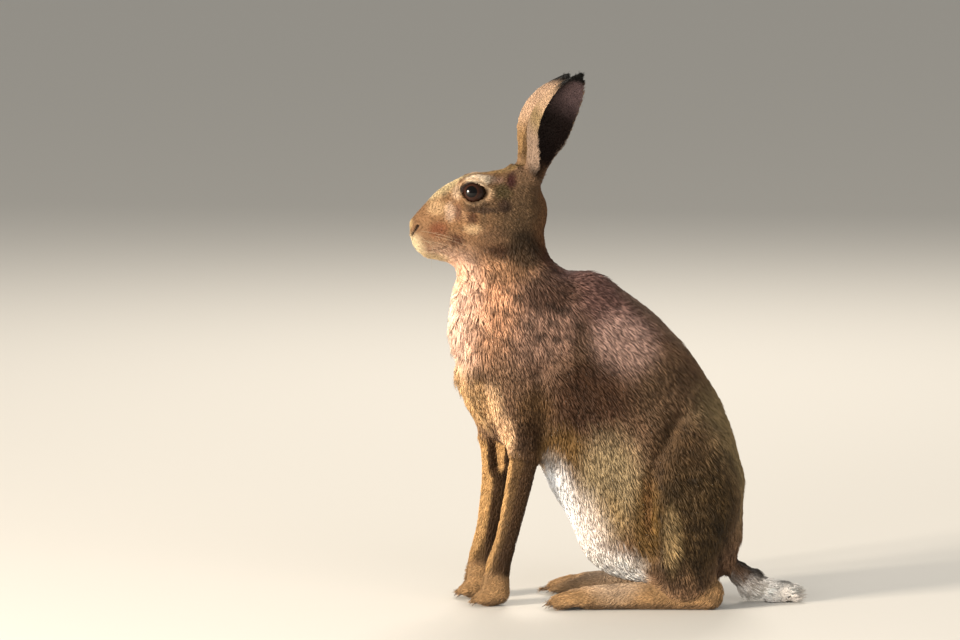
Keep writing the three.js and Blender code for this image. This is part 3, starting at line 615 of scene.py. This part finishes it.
# Folds of the body, seen from the side, where the arm and the thigh lie against the trunk:
# points, radius and depth of each
bodyFolds = [
    ("armFront", [(-91, 208), (-87, 190), (-77, 153), (-74, 122)], 8, 5.5),
    ("armBack", [(-36, 215), (-33, 180), (-33, 150)], 13, 3.5),
    ("thighFront", [(86, 172), (68, 135), (60, 95), (64, 55)], 13, 4.5),
]
# The lids: shares of the eye's opening at which they start to fade and end, crease over them,
# how deep the skin lies under the eyeball, and how far out the lids reach
lidPlan = {"rim": 1.28, "fade": 2.1, "crease": 0.45, "sunk": 2.6, "reach": 9}
furrowPlan = {"depth": 1.6, "radius": 2.8, "below": 34}
# How far round eyes and mouth the skin is made finer, one step after the other
detailRadii = (26, 17)


def distanceToLine(spots, line):
    line = np.array(line, dtype=float)
    best = np.full(len(spots), np.inf)
    for a, b in zip(line[:-1], line[1:]):
        share = np.clip((spots - a).dot(b - a) / (b - a).dot(b - a), 0, 1)
        best = np.minimum(best, np.linalg.norm(spots - a - share[:, None] * (b - a), axis=1))
    return best


def eyeShare(spots, side):
    centre, out, along, up = eyeAxes(side)
    away = spots - centre
    long, tall = eyePlan["opening"]
    u = away.dot(along) / long
    v = away.dot(up) / (tall * (1 - 0.22 * np.clip(u, -1, 1) ** 2))
    return np.hypot(u, v), away.dot(out)


# Distance to the furrows between the toes, which run back from the front edge of each foot
def toeDistance(spots):
    best = np.full(len(spots), np.inf)
    for plan in clawPlan.values():
        for sign in sides.values():
            front = plan["at"][0] - plan["reach"] - (plan["step"] if sign > 0 else 0)
            for off in (-1, 0, 1):
                across = sign * (plan["at"][1] + off * plan["spread"])
                line = [(front - 8, across, 0), (front + plan["furrow"], across, 0)]
                best = np.minimum(best, distanceToLine(spots * (1, 1, 0), line))
    return best + 100 * (spots[:, 2] > furrowPlan["below"])


def pressFolds(skin):
    spots = toDrawing(placesOf(skin.data))
    normals = normalsOf(skin.data)
    flat = spots * (1, 0, 1)
    facing = smoothStep(0.15, 0.6, np.abs(normals[:, 1])) * smoothStep(14, 24, np.abs(spots[:, 1]))
    for _, line, radius, depth in bodyFolds:
        share = distanceToLine(flat, [(x, 0, z) for x, z in line]) / radius
        banks = 0.2 * depth * np.exp(-((share - 1.5) / 0.5) ** 2)
        press = depth * np.clip(1 - share ** 2, 0, 1) ** 1.5 - banks
        spots -= normals * (press * facing)[:, None]
    groove = np.clip(1 - (toeDistance(spots) / furrowPlan["radius"]) ** 2, 0, 1)
    furrow = furrowPlan["depth"] * groove * smoothStep(-0.5, 0, normals[:, 2])
    spots -= normals * furrow[:, None]
    spots[:, 2] = np.maximum(spots[:, 2], skinPlan["floorGap"])
    movePlaces(skin.data, toFrame(spots))


def shapeFace(skin):
    mesh = skin.data
    for radius in detailRadii:
        spots = toDrawing(placesOf(mesh))
        eyes = [np.linalg.norm(spots - eyeAxes(side)[0], axis=1) < radius for side in sides]
        mouth = np.linalg.norm((spots - (-145, 0, 329)) / (16, 15, 17), axis=1) < radius / detailRadii[1]
        subdivideWhere(skin, eyes[0] | eyes[1] | mouth)
    spots = toDrawing(placesOf(mesh))
    normals = normalsOf(mesh)
    mirrored = mirroredOf(spots)
    for _, line, radius, depth in faceGrooves:
        share = distanceToLine(mirrored, line) / radius
        press = depth * np.clip(1 - share ** 2, 0, 1) ** 1.5
        lip = 0.25 * depth * np.exp(-((share - 1.5) / 0.5) ** 2)
        spots += normals * (lip - press)[:, None]
    for side in sides:
        share, depth = eyeShare(spots, side)
        radius = eyePlan["radius"]
        centre = eyeAxes(side)[0]
        away = spots - centre
        far = np.linalg.norm(away, axis=1)
        near = (far < radius + lidPlan["reach"]) & (depth > 0)
        lid = radius + eyePlan["lid"] * np.clip((share - 1) / 0.12, 0.35, 1)
        crease = lidPlan["crease"] * np.exp(-((share - 1.62) / 0.16) ** 2)
        blend = smoothStep(lidPlan["rim"], lidPlan["fade"], share)
        wanted = lid + (np.maximum(far, lid) - lid) * blend - crease
        wanted = np.where(share < 1, radius - lidPlan["sunk"], wanted)
        wanted = np.where(near & (share < lidPlan["fade"]), wanted, far)
        spots = centre + away * (wanted / np.maximum(far, 1e-6))[:, None]
    movePlaces(mesh, toFrame(spots))
    print("face shaped", len(mesh.polygons))


def colourAttribute(mesh, colours):
    layer = mesh.color_attributes.new(name="marking", type="FLOAT_COLOR", domain="POINT")
    full = np.ones((len(colours), 4), dtype=np.float32)
    full[:, :3] = colours
    layer.data.foreach_set("color", full.ravel())


def unwrapSkin(skin):
    activate(skin)
    skin.data.uv_layers.new(name="OFBake")
    bpy.ops.object.mode_set(mode="EDIT")
    bpy.ops.mesh.select_all(action="SELECT")
    bpy.ops.uv.smart_project(angle_limit=math.radians(70), island_margin=0.002)
    bpy.ops.object.mode_set(mode="OBJECT")
    print("skin unwrapped")


# The marking's tone times a fine grain, whose size is its number of waves to a metre
def grainedTone(tree, finish, waves, detail, darkest, lightest):
    tone = addNode(tree, "ShaderNodeAttribute", attribute_name="marking")
    grain = noiseNode(tree, waves, detail)
    shade = addNode(tree, "ShaderNodeMapRange", {
        "Value": grain.outputs["Fac"], "To Min": darkest, "To Max": lightest,
    })
    mixed = addNode(tree, "ShaderNodeVectorMath", {0: tone.outputs["Color"], "Scale": shade.outputs[0]},
                    operation="SCALE")
    tree.links.new(mixed.outputs[0], finish.inputs["Base Color"])
    return grain


def noiseNode(tree, waves, detail):
    place = addNode(tree, "ShaderNodeTexCoord")
    return addNode(tree, "ShaderNodeTexNoise", {
        "Vector": place.outputs["Object"], "Scale": waves, "Detail": detail,
    })


def skinMaterial():
    # Bare skin under a short coat: matt, a little darker than the fur, with the grain of fine hair
    material, tree, finish = newMaterial("shortFurSkin", Roughness=0.8, Specular_IOR_Level=0.25)
    grain = grainedTone(tree, finish, 900, 3, 0.62, 1.0)
    bump = addNode(tree, "ShaderNodeBump", {
        "Height": grain.outputs["Fac"], "Strength": 0.5, "Distance": 0.6 * mm,
    })
    tree.links.new(bump.outputs[0], finish.inputs["Normal"])
    return material


def coatMaterial():
    # Keratin hair: soft low gloss, each tuft toned along its length
    material, tree, finish = newMaterial("hareFur", Roughness=0.62, Specular_IOR_Level=0.3)
    grainedTone(tree, finish, 260, 2, 0.8, 1.2)
    return material


# Lie of the coat: at x, y, z the hair runs towards the direction beside it
lieOfCoat = [
    ((-151, 4, 345), (1, 0.25, 0.75)), ((-138, 0, 360), (1, 0, 0.55)), ((-118, 0, 378), (1, 0, 0.4)),
    ((-92, 0, 390), (1, 0, 0.12)), ((-68, 0, 394), (1, 0, 0.1)), ((-149, 7, 330), (0.7, 0.4, -0.35)),
    ((-134, 15, 334), (1, 0.25, -0.12)), ((-116, 20, 346), (1, 0.15, -0.08)),
    ((-98, 24, 356), (1, 0.05, -0.28)),
    ((-82, 30, 346), (1, 0, -0.4)), ((-110, 22, 374), (0.8, 0.3, 0.5)), ((-94, 26, 388), (1, 0.1, 0.25)),
    ((-78, 28, 374), (1, 0, -0.15)), ((-60, 26, 366), (0.8, 0, -0.75)), ((-135, 8, 314), (1, 0.2, -0.25)),
    ((-112, 10, 309), (1, 0, -0.5)), ((-90, 22, 322), (0.8, 0, -0.8)), ((-36, 0, 372), (0.1, 0, -1)),
    ((-34, 0, 340), (0.1, 0, -1)), ((-34, 0, 314), (0.5, 0, -1)), ((-62, 32, 330), (0.25, 0, -1)),
    ((-66, 36, 300), (0.15, 0.1, -1)), ((-106, 0, 292), (-0.1, 0, -1)), ((-118, 0, 240), (0.1, 0, -1)),
    ((-108, 30, 260), (0.05, 0.1, -1)), ((-104, 28, 196), (0.25, 0.1, -1)),
    ((-70, 46, 260), (0.25, 0.1, -1)),
    ((-40, 48, 250), (0.45, 0, -1)), ((-10, 0, 306), (1, 0, -0.25)), ((30, 0, 282), (1, 0, -0.6)),
    ((66, 0, 250), (0.9, 0, -0.95)), ((104, 0, 204), (0.6, 0, -1)), ((134, 0, 150), (0.35, 0, -1)),
    ((150, 0, 95), (0.05, 0, -1)), ((142, 0, 45), (-0.1, 0, -1)), ((0, 50, 220), (0.75, 0, -0.85)),
    ((40, 56, 180), (0.7, 0, -1)), ((20, 48, 130), (0.4, 0, -1)), ((-12, 20, 90), (0.4, 0, -1)),
    ((10, 0, 50), (0.7, 0, -0.8)), ((50, 30, 20), (0.9, 0, -0.2)), ((84, 72, 120), (0.5, 0, -1)),
    ((112, 68, 90), (0.35, 0, -1)), ((62, 68, 64), (0.75, 0, -0.9)), ((96, 62, 34), (0.4, 0, -1)),
    ((-56, 48, 180), (0.25, 0, -1)), ((-48, 36, 140), (-0.1, 0, -1)), ((-62, 30, 95), (-0.2, 0, -1)),
    ((-74, 26, 48), (-0.25, 0, -1)), ((-86, 24, 14), (-1, 0, -0.35)), ((-100, 24, 6), (-1, 0, -0.2)),
    ((100, 46, 22), (-0.8, 0, -0.5)), ((60, 45, 24), (-1, 0, -0.15)), ((0, 43, 22), (-1, 0, -0.1)),
    ((-32, 42, 12), (-1, 0, -0.3)), ((-50, 16, 396), (0.4, 0.2, 0.9)), ((-34, 24, 425), (0.4, 0.2, 0.9)),
    ((-10, 34, 465), (0.5, 0.2, 0.8)), ((140, 0, 32), (0.9, 0, -0.7)), ((175, 0, 12), (1, 0, -0.1)),
]
# The hair of the tail runs together towards this spot behind it
tailPoint = (212, 0, 7)


def lieAt(spots, normals):
    sign = np.where(spots[:, 1] < 0, -1.0, 1.0)
    mirrored = mirroredOf(spots)
    flow = np.zeros_like(spots)
    for at, run in lieOfCoat:
        weight = 1 / (((mirrored - at) ** 2).sum(axis=1) + 40) ** 2
        flow += weight[:, None] * unit(np.array(run, dtype=float))
    flow[:, 1] *= sign
    tail = smoothStep(146, 170, spots[:, 0])[:, None]
    flow = unit(unit(flow) * (1 - tail) + unit(np.array(tailPoint) - spots) * tail)
    return unit(flow - normals * (flow * normals).sum(axis=1, keepdims=True) * (1 - 0.75 * tail))


# Smooth changes of direction and tone over the body, as sums of a few slow waves
def slowWaves(spots, wavelength, seed, count=6):
    random = np.random.default_rng(seed)
    total = np.zeros(len(spots))
    for _ in range(count):
        run = unit(random.normal(size=3)) * 2 * math.pi / (wavelength * random.uniform(0.7, 1.4))
        total += np.sin(spots.dot(run) + random.uniform(0, 2 * math.pi))
    return total / math.sqrt(count)


coatPlan = {
    "pieces": 8, "tufts": 18500, "seed": 11, "patch": 0.003, "wave": 0.3, "clumpEvery": 14, "curlEvery": 60,
}


def triangleTable(mesh):
    mesh.calc_loop_triangles()
    count = len(mesh.loop_triangles)
    corners = np.empty(count * 3, dtype=np.int64)
    mesh.loop_triangles.foreach_get("vertices", corners)
    loops = np.empty(count * 3, dtype=np.int64)
    mesh.loop_triangles.foreach_get("loops", loops)
    uv = np.empty(len(mesh.loops) * 2)
    mesh.uv_layers["OFBake"].data.foreach_get("uv", uv)
    return corners.reshape(-1, 3), uv.reshape(-1, 2)[loops].reshape(-1, 3, 2)


def sampleRoots(skin, fields, count, seed):
    random = np.random.default_rng(seed)
    mesh = skin.data
    corners, uv = triangleTable(mesh)
    places = toDrawing(placesOf(mesh))
    normals = normalsOf(mesh)
    a, b, c = places[corners[:, 0]], places[corners[:, 1]], places[corners[:, 2]]
    area = 0.5 * np.linalg.norm(np.cross(b - a, c - a), axis=1)
    chance = area * fields["number"][corners].mean(axis=1) * bareMask(places)[corners].mean(axis=1)
    pick = random.choice(len(corners), size=count, p=chance / chance.sum())
    u, v = random.random(count), random.random(count)
    flip = u + v > 1
    u[flip], v[flip] = 1 - u[flip], 1 - v[flip]
    share = np.column_stack([1 - u - v, u, v])
    roots = {
        "spot": np.einsum("ij,ijk->ik", share, places[corners[pick]]),
        "normal": unit(np.einsum("ij,ijk->ik", share, normals[corners[pick]])),
        "uv": np.einsum("ij,ijk->ik", share, uv[pick]),
        "random": random,
    }
    for name, values in fields.items():
        roots[name] = (share * values[corners[pick]]).sum(axis=1)
    print("spread", count, "tufts, mean per mm2", round(count / area.sum(), 3))
    return roots


# Nothing grows on the eyeballs' hollows, in the nostrils or in the line of the mouth
def bareMask(spots):
    bare = np.ones(len(spots))
    for side in sides:
        share, depth = eyeShare(spots, side)
        far = np.linalg.norm(spots - eyeAxes(side)[0], axis=1)
        near = (far < eyePlan["radius"] + eyePlan["margin"]) & (depth > 0)
        bare[near & (share < 1.16)] = 0
        bare[far < eyePlan["radius"] - 0.5] = 0
    mirrored = mirroredOf(spots)
    for _, line, radius, _ in faceGrooves:
        bare[distanceToLine(mirrored, line) < radius * 0.8] = 0
    bare[spots[:, 2] < 0.8] = 0
    return bare


# Two rings of three corners and a tip make one tuft: a flat, three-sided, tapering lock
def tuftMesh(name, rings, widths, across, rise, tones, uvs, patch):
    count = len(across)
    points = np.empty((count, 7, 3))
    for k in (0, 1):
        wide = across * widths[k][:, None]
        points[:, 3 * k] = rings[k] - wide
        points[:, 3 * k + 1] = rings[k] + wide
        points[:, 3 * k + 2] = rings[k] + rise * widths[k][:, None] * 0.7
    points[:, 6] = rings[2]
    points[:, :, 2] = np.maximum(points[:, :, 2], 0.05)
    pattern = np.array([[0, 1, 4], [0, 4, 3], [1, 2, 5], [1, 5, 4], [2, 0, 3], [2, 3, 5],
                        [3, 4, 6], [4, 5, 6], [5, 3, 6], [0, 2, 1]])
    faces = (pattern[None] + 7 * np.arange(count)[:, None, None]).reshape(-1, 3)
    mesh = bpy.data.meshes.new(name)
    mesh.vertices.add(count * 7)
    mesh.vertices.foreach_set("co", toFrame(points.reshape(-1, 3)).astype(np.float32).ravel())
    mesh.loops.add(faces.size)
    mesh.loops.foreach_set("vertex_index", faces.ravel().astype(np.int32))
    mesh.polygons.add(len(faces))
    mesh.polygons.foreach_set("loop_start", np.arange(0, faces.size, 3, dtype=np.int32))
    mesh.update(calc_edges=True)
    offsets = np.array([[-0.5, -0.5], [0.5, -0.5], [0, -0.5], [-0.4, 0.1], [0.4, 0.1], [0, 0.1], [0, 0.5]])
    corners = uvs[:, None] + offsets[None] * patch
    layer = mesh.uv_layers.new(name="OFBake")
    layer.data.foreach_set("uv", corners.reshape(-1, 2)[faces.ravel()].astype(np.float32).ravel())
    colours = np.repeat(tones, [3, 3, 1], axis=1)
    colourAttribute(mesh, colours.reshape(-1, 3))
    mesh.shade_smooth()
    piece = bpy.data.objects.new(name, mesh)
    bpy.context.collection.objects.link(piece)
    return piece


# Each tuft's tones at its root, middle and tip
def ticking(roots, base, leader):
    random = roots["random"]
    count = len(base)
    spots = roots["spot"]
    pale = smoothStep(0.42, 0.75, base.mean(axis=1))
    calm = (1 - pale) * (1 - 0.6 * roots["leg"]) * (1 - 0.6 * roots["ear"]) * (1 - 0.5 * roots["face"])
    grizzled = roots["grizzled"]
    dark = random.random(count) < (0.26 + 0.1 * grizzled) * calm
    light = random.random(count) < (0.16 + 0.1 * grizzled) * calm
    lift = random.uniform(0.92, 1.08, count)[:, None]
    spread = 0.1 + 0.2 * roots["breast"]
    lift *= (1 + spread * random.uniform(-1, 1, count)[leader])[:, None]
    mottle = (0.12 + 0.16 * grizzled) * slowWaves(spots, 17, 5)
    mottle += (0.1 + 0.12 * grizzled) * slowWaves(spots, 8, 6)
    mottle = mottle * (0.25 + 0.75 * calm) + 0.1 * roots["face"] * slowWaves(spots, 7, 9)
    # Painted shade in the gaps between the locks
    curlShade = smoothStep(0.1, 0.9, slowWaves(spots, 13, 12, 9)) * roots["curly"]
    patchy = (1 + mottle - 0.6 * curlShade * (1 - 0.5 * pale))[:, None]
    body = base * lift * patchy
    under = body * (0.86 - 0.24 * roots["breast"] + 0.08 * pale)[:, None]
    tip = body * 1.15
    tip[dark] = body[dark] * 0.45
    tip[light] = body[light] * (1.45, 1.4, 1.3)
    return np.clip(np.stack([under, body, tip], axis=1), 0, 0.92)


# The tuft that each tuft leans towards
def leadersOf(spots, every):
    leaders = np.arange(0, len(spots), every)
    tree = KDTree(len(leaders))
    for k, i in enumerate(leaders):
        tree.insert(spots[i], k)
    tree.balance()
    return leaders[np.array([tree.find(spot)[1] for spot in spots.tolist()])]


def growCoat(skin, fields):
    total = coatPlan["pieces"] * coatPlan["tufts"]
    roots = sampleRoots(skin, fields, total, coatPlan["seed"])
    random = roots["random"]
    spots, normals = roots["spot"], roots["normal"]
    lie = lieAt(spots, normals)
    side = np.cross(normals, lie)
    sway = 0.16 * random.normal(size=total) + coatPlan["wave"] * roots["clump"] * slowWaves(spots, 15, 3)
    lie = unit(lie + side * sway[:, None])
    length = roots["length"] * random.uniform(0.75, 1.25, total)
    rise = np.maximum(roots["rise"] * random.uniform(0.6, 1.4, total), 0.05)
    tipUp = roots["tip"] * random.uniform(0.5, 1.5, total)
    middle = spots + lie * (0.5 * length)[:, None] + normals * (0.42 * rise * length)[:, None]
    end = spots + lie * (0.97 * length)[:, None] + normals * (tipUp * length)[:, None]
    curled = roots["breast"] > random.uniform(0.2, 0.8, total)
    wide, narrow = (leadersOf(spots, coatPlan[name]) for name in ("curlEvery", "clumpEvery"))
    leader = np.where(curled, wide, narrow)
    reach = np.linalg.norm(spots - spots[leader], axis=1)
    pull = np.clip(roots["clump"], 0, 0.65) * (1 - smoothStep(0.5, 1.1, reach / np.maximum(length, 1)))
    middle += (middle[leader] - middle) * (0.35 * pull)[:, None]
    end += (end[leader] - end) * pull[:, None]
    end[:, 2] = np.maximum(end[:, 2], 0.4)
    middle[:, 2] = np.maximum(middle[:, 2], 0.5)
    start = spots - normals * (0.6 + 0.05 * length)[:, None]
    start[:, 2] = np.maximum(start[:, 2], 0.3)
    base = markingColours(spots, normals, roots)
    tones = ticking(roots, base, leader)
    across = unit(np.cross(normals, end - spots))
    width = 0.5 * roots["width"] * random.uniform(0.7, 1.3, total)
    fur = coatMaterial()
    pieces = []
    for k in range(coatPlan["pieces"]):
        part = slice(k, total, coatPlan["pieces"])
        piece = tuftMesh(f"coatLayer{k + 1}", [start[part], middle[part], end[part]],
                         [width[part], width[part] * 0.85], across[part], normals[part], tones[part],
                         roots["uv"][part], coatPlan["patch"])
        piece.data.materials.append(fur)
        pieces.append(piece)
    print("coat grown in", len(pieces), "layers")
    return pieces


# Each eye is a ball with a raised cornea over its iris and pupil
eyeColours = {
    "pupil": "#030202", "inner": "#2e170c", "iris": "#221008", "rim": "#0e0604", "white": "#1d130e",
}


def eyeMaterial(side):
    # Living eye: a dark brown iris under a wet cornea, so a hard clear gloss
    material, tree, finish = newMaterial(f"wetEye{side}", Roughness=0.15, Specular_IOR_Level=0.2,
                                         Coat_Weight=0.12, Coat_Roughness=0.02)
    centre, _, along, up = eyeAxes(side)
    place = addNode(tree, "ShaderNodeTexCoord")
    away = addNode(tree, "ShaderNodeVectorMath", {0: place.outputs["Object"], 1: tuple(toFrame(centre))},
                   operation="SUBTRACT")
    parts = []
    for axis in (along, up):
        parts.append(addNode(tree, "ShaderNodeVectorMath", {0: away.outputs[0], 1: tuple(axis)},
                             operation="DOT_PRODUCT").outputs["Value"])
    flat = addNode(tree, "ShaderNodeCombineXYZ", {"X": parts[0], "Y": parts[1]})
    reach = addNode(tree, "ShaderNodeVectorMath", {0: flat.outputs[0]}, operation="LENGTH")
    turn = addNode(tree, "ShaderNodeMath", {0: parts[0], 1: parts[1]}, operation="ARCTAN2")
    ray = addNode(tree, "ShaderNodeCombineXYZ", {"X": turn.outputs[0]})
    streak = addNode(tree, "ShaderNodeTexNoise", {"Vector": ray.outputs[0], "Scale": 9, "Detail": 4})
    wobble = addNode(tree, "ShaderNodeMapRange", {
        "Value": streak.outputs["Fac"], "To Min": -0.6 * mm, "To Max": 0.6 * mm,
    })
    radius = addNode(tree, "ShaderNodeMath", {0: reach.outputs["Value"], 1: wobble.outputs[0]},
                     operation="ADD")
    share = addNode(tree, "ShaderNodeMath", {0: radius.outputs[0], 1: eyePlan["radius"] * mm},
                    operation="DIVIDE")
    ramp = addNode(tree, "ShaderNodeValToRGB", {"Fac": share.outputs[0]})
    pupil, iris = (eyePlan[name] / eyePlan["radius"] for name in ("pupil", "iris"))
    stops = [(0.0, "pupil"), (pupil - 0.02, "pupil"), (pupil + 0.03, "inner"), (0.66, "iris"),
             (iris - 0.04, "iris"), (iris + 0.03, "rim"), (1.0, "white")]
    while len(ramp.color_ramp.elements) < len(stops):
        ramp.color_ramp.elements.new(0.5)
    for element, (at, name) in zip(ramp.color_ramp.elements, stops):
        element.position = at
        element.color = (*linear(eyeColours[name]), 1)
    tree.links.new(ramp.outputs["Color"], finish.inputs["Base Color"])
    return material


def makeEye(side):
    centre, out, _, _ = eyeAxes(side)
    radius = eyePlan["radius"]
    turn = Vector((0, 0, 1)).rotation_difference(Vector(out)).to_euler()
    bpy.ops.mesh.primitive_uv_sphere_add(segments=48, ring_count=32, radius=radius * mm,
                                         location=toFrame(centre), rotation=turn)
    eye = bpy.context.active_object
    eye.name = f"eye{side}"
    bpy.ops.object.transform_apply(location=True, rotation=True, scale=True)
    spots = toDrawing(placesOf(eye.data))
    away = spots - centre
    height = away.dot(out) / radius
    bulge = 0.45 * smoothStep(0.62, 0.95, height)
    movePlaces(eye.data, toFrame(spots + unit(away) * bulge[:, None]))
    eye.data.shade_smooth()
    eye.data.uv_layers[0].name = "OFBake"
    eye.data.materials.append(eyeMaterial(side))
    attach(eye, "root")
    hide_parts(f"eye_{side.lower()}")


def clawMaterial():
    # Horn: dark, smooth keratin, mottled with a paler brown
    material, tree, finish = newMaterial("clawHorn", Roughness=0.4)
    grain = noiseNode(tree, 700, 3)
    ramp = addNode(tree, "ShaderNodeValToRGB", {"Fac": grain.outputs["Fac"]})
    for element, tone in zip(ramp.color_ramp.elements, ("#1d1410", "#4d3a2b")):
        element.color = (*linear(tone), 1)
    tree.links.new(ramp.outputs["Color"], finish.inputs["Base Color"])
    return material


# Claws: curved cones, one at the end of each toe
def makeClaws(material):
    for end, plan in clawPlan.items():
        for side, sign in sides.items():
            claws = []
            for k in range(4):
                off = k - 1.5
                x = plan["at"][0] - plan["reach"] - (plan["step"] if side == "Right" else 0)
                x += abs(off) * 2.4 if end == "Fore" else abs(off - 0.5) * 5
                spot = np.array([x, sign * (plan["at"][1] + off * plan["spread"]), plan["height"]])
                bpy.ops.mesh.primitive_cone_add(vertices=10, radius1=plan["radius"] * mm, radius2=0.0002,
                                                depth=plan["length"] * mm, location=(0, 0, 0))
                claw = bpy.context.active_object
                bpy.ops.object.mode_set(mode="EDIT")
                bpy.ops.mesh.subdivide(number_cuts=3)
                bpy.ops.object.mode_set(mode="OBJECT")
                points = placesOf(claw.data) / mm
                along = (points[:, 2] + plan["length"] / 2) / plan["length"]
                bent = np.column_stack([
                    spot[0] + 2 - along * plan["length"],
                    spot[1] + points[:, 1] * 0.8,
                    spot[2] + 0.4 + points[:, 0] - 4.2 * along ** 2,
                ])
                movePlaces(claw.data, toFrame(bent))
                claw.data.flip_normals()
                claws.append(claw)
            bpy.ops.object.select_all(action="DESELECT")
            for claw in claws:
                claw.select_set(True)
            bpy.context.view_layer.objects.active = claws[0]
            bpy.ops.object.join()
            row = bpy.context.active_object
            row.name = f"claws{end}{side}"
            bpy.ops.object.mode_set(mode="EDIT")
            bpy.ops.mesh.select_all(action="SELECT")
            bpy.ops.mesh.normals_make_consistent(inside=False)
            bpy.ops.object.mode_set(mode="OBJECT")
            row.data.shade_smooth()
            row.data.materials.append(material)
            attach(row, "root")


# Whiskers: long tapering hairs that spring from the upper lip and bend back and down
whiskerPlan = {"each": 11, "seed": 21, "radius": 0.12, "steps": 9, "around": 4}


def makeWhiskers():
    random = np.random.default_rng(whiskerPlan["seed"])
    points, faces = [], []
    around = whiskerPlan["around"]
    for sign in sides.values():
        for _ in range(whiskerPlan["each"]):
            root = np.array([random.uniform(-146, -130), 0, random.uniform(326, 338)])
            root[1] = sign * (9.5 + (root[0] + 146) * 0.22)
            run = unit(np.array([random.uniform(-0.1, 0.75), sign * random.uniform(0.75, 1.0),
                                 random.uniform(-0.45, 0.25)]))
            length = random.uniform(34, 66)
            drop = random.uniform(4, 13)
            start = len(points)
            for i in range(whiskerPlan["steps"] + 1):
                share = i / whiskerPlan["steps"]
                bend = np.array([0.1 * length * share ** 2, 0, -drop * share ** 2])
                centre = root + run * length * share + bend
                size = whiskerPlan["radius"] * (1 - 0.92 * share)
                for j in range(around):
                    turn = 2 * math.pi * j / around
                    points.append(centre + np.array([math.cos(turn) * size, 0, math.sin(turn) * size]))
            for i in range(whiskerPlan["steps"]):
                for j in range(around):
                    a = start + i * around + j
                    b = start + i * around + (j + 1) % around
                    faces.append((a, b, b + around, a + around))
            faces.append(tuple(start + j for j in range(around))[::-1])
            faces.append(tuple(start + whiskerPlan["steps"] * around + j for j in range(around)))
    mesh = bpy.data.meshes.new("whiskers")
    mesh.from_pydata(toFrame(points).tolist(), [], faces)
    mesh.update()
    piece = bpy.data.objects.new("whiskers", mesh)
    bpy.context.collection.objects.link(piece)
    activate(piece)
    bpy.ops.object.mode_set(mode="EDIT")
    bpy.ops.mesh.select_all(action="SELECT")
    bpy.ops.mesh.normals_make_consistent(inside=False)
    bpy.ops.object.mode_set(mode="OBJECT")
    mesh.shade_smooth()
    # Whisker hair: stiff, pale and slightly glossy
    material, _, finish = newMaterial("whiskerHair", Roughness=0.35)
    finish.inputs["Base Color"].default_value = (*linear("#a8987e"), 1)
    mesh.materials.append(material)
    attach(piece, "root")


# Studio: plain pale floor, soft lights, and a long lens at the photo's height
cameraPlan = {
    "target": (-90, 0, 256.1), "azimuth": 0, "elevation": 6, "distance": 5.0, "width": 0.864, "farthest": 50,
}
sensorWidth = 36
floorPlan = {"size": 60, "colour": "#d9d6cf"}
airPlan = {"colour": "#efece6", "strength": 0.46}
lightPlan = {
    "key": {"at": (-2.7, -1.85, 0.8), "size": 0.7, "power": 235, "colour": "#fff0dc", "mirrored": True},
    "fill": {"at": (1.6, -2.8, 1.4), "size": 2.6, "power": 42, "colour": "#f4f2f0", "mirrored": False},
    "bounce": {"at": (-0.7, -2.0, 0.3), "size": 0.8, "power": 22, "colour": "#ffffff", "mirrored": False},
    "rim": {"at": (0.2, 2.4, 2.2), "size": 1.2, "power": 50, "colour": "#fff6ea", "mirrored": True},
}


def makeStudio():
    bpy.ops.mesh.primitive_plane_add(size=floorPlan["size"], location=(0, 0, 0))
    floor = bpy.context.active_object
    floor.name = "paleFloor"
    # Painted board: matt and even
    material, _, finish = newMaterial("paleBoard", Roughness=0.85)
    finish.inputs["Base Color"].default_value = (*linear(floorPlan["colour"]), 1)
    floor.data.materials.append(material)
    target = Vector(toFrame(cameraPlan["target"]))
    for name, plan in lightPlan.items():
        bpy.ops.object.light_add(type="AREA", location=plan["at"])
        light = bpy.context.active_object
        light.name = name
        light.data.size = plan["size"]
        light.data.energy = plan["power"]
        light.data.color = linear(plan["colour"])
        light.visible_glossy = plan["mirrored"]
        light.rotation_euler = (target - light.location).to_track_quat("-Z", "Y").to_euler()
    world = bpy.context.scene.world or bpy.data.worlds.new("studioAir")
    bpy.context.scene.world = world
    world.use_nodes = True
    air = world.node_tree.nodes["Background"]
    air.inputs["Color"].default_value = (*linear(airPlan["colour"]), 1)
    air.inputs["Strength"].default_value = airPlan["strength"]
    turn = math.radians(cameraPlan["azimuth"])
    rise = math.radians(cameraPlan["elevation"])
    away = Vector((math.sin(turn) * math.cos(rise), -math.cos(turn) * math.cos(rise), math.sin(rise)))
    bpy.ops.object.camera_add(location=target + away * cameraPlan["distance"])
    camera = bpy.context.active_object
    camera.rotation_euler = (-away).to_track_quat("-Z", "Y").to_euler()
    camera.data.sensor_width = sensorWidth
    camera.data.lens = sensorWidth * cameraPlan["distance"] / cameraPlan["width"]
    camera.data.clip_end = cameraPlan["farthest"]
    bpy.context.scene.camera = camera
    # The tones were chosen in plain sRGB, so the view adds no film curve
    bpy.context.scene.view_settings.view_transform = "Standard"
    print("studio ready")


def build():
    skin = makeSkin()
    fields = coatFields(skin)
    movePlaces(skin.data, placesOf(skin.data) - normalsOf(skin.data) * fields["depth"][:, None] * mm)
    pressFolds(skin)
    shapeFace(skin)
    fields = coatFields(skin)
    unwrapSkin(skin)
    skin.data.shade_smooth()
    spots = toDrawing(placesOf(skin.data))
    colourAttribute(skin.data, markingColours(spots, normalsOf(skin.data), fields) * 0.9)
    skin.data.materials.clear()
    skin.data.materials.append(skinMaterial())
    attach(skin, "root")
    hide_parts(*fleshNodes)
    for piece in growCoat(skin, fields):
        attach(piece, "root")
    for side in sides:
        makeEye(side)
    makeClaws(clawMaterial())
    makeWhiskers()
    makeStudio()


build()
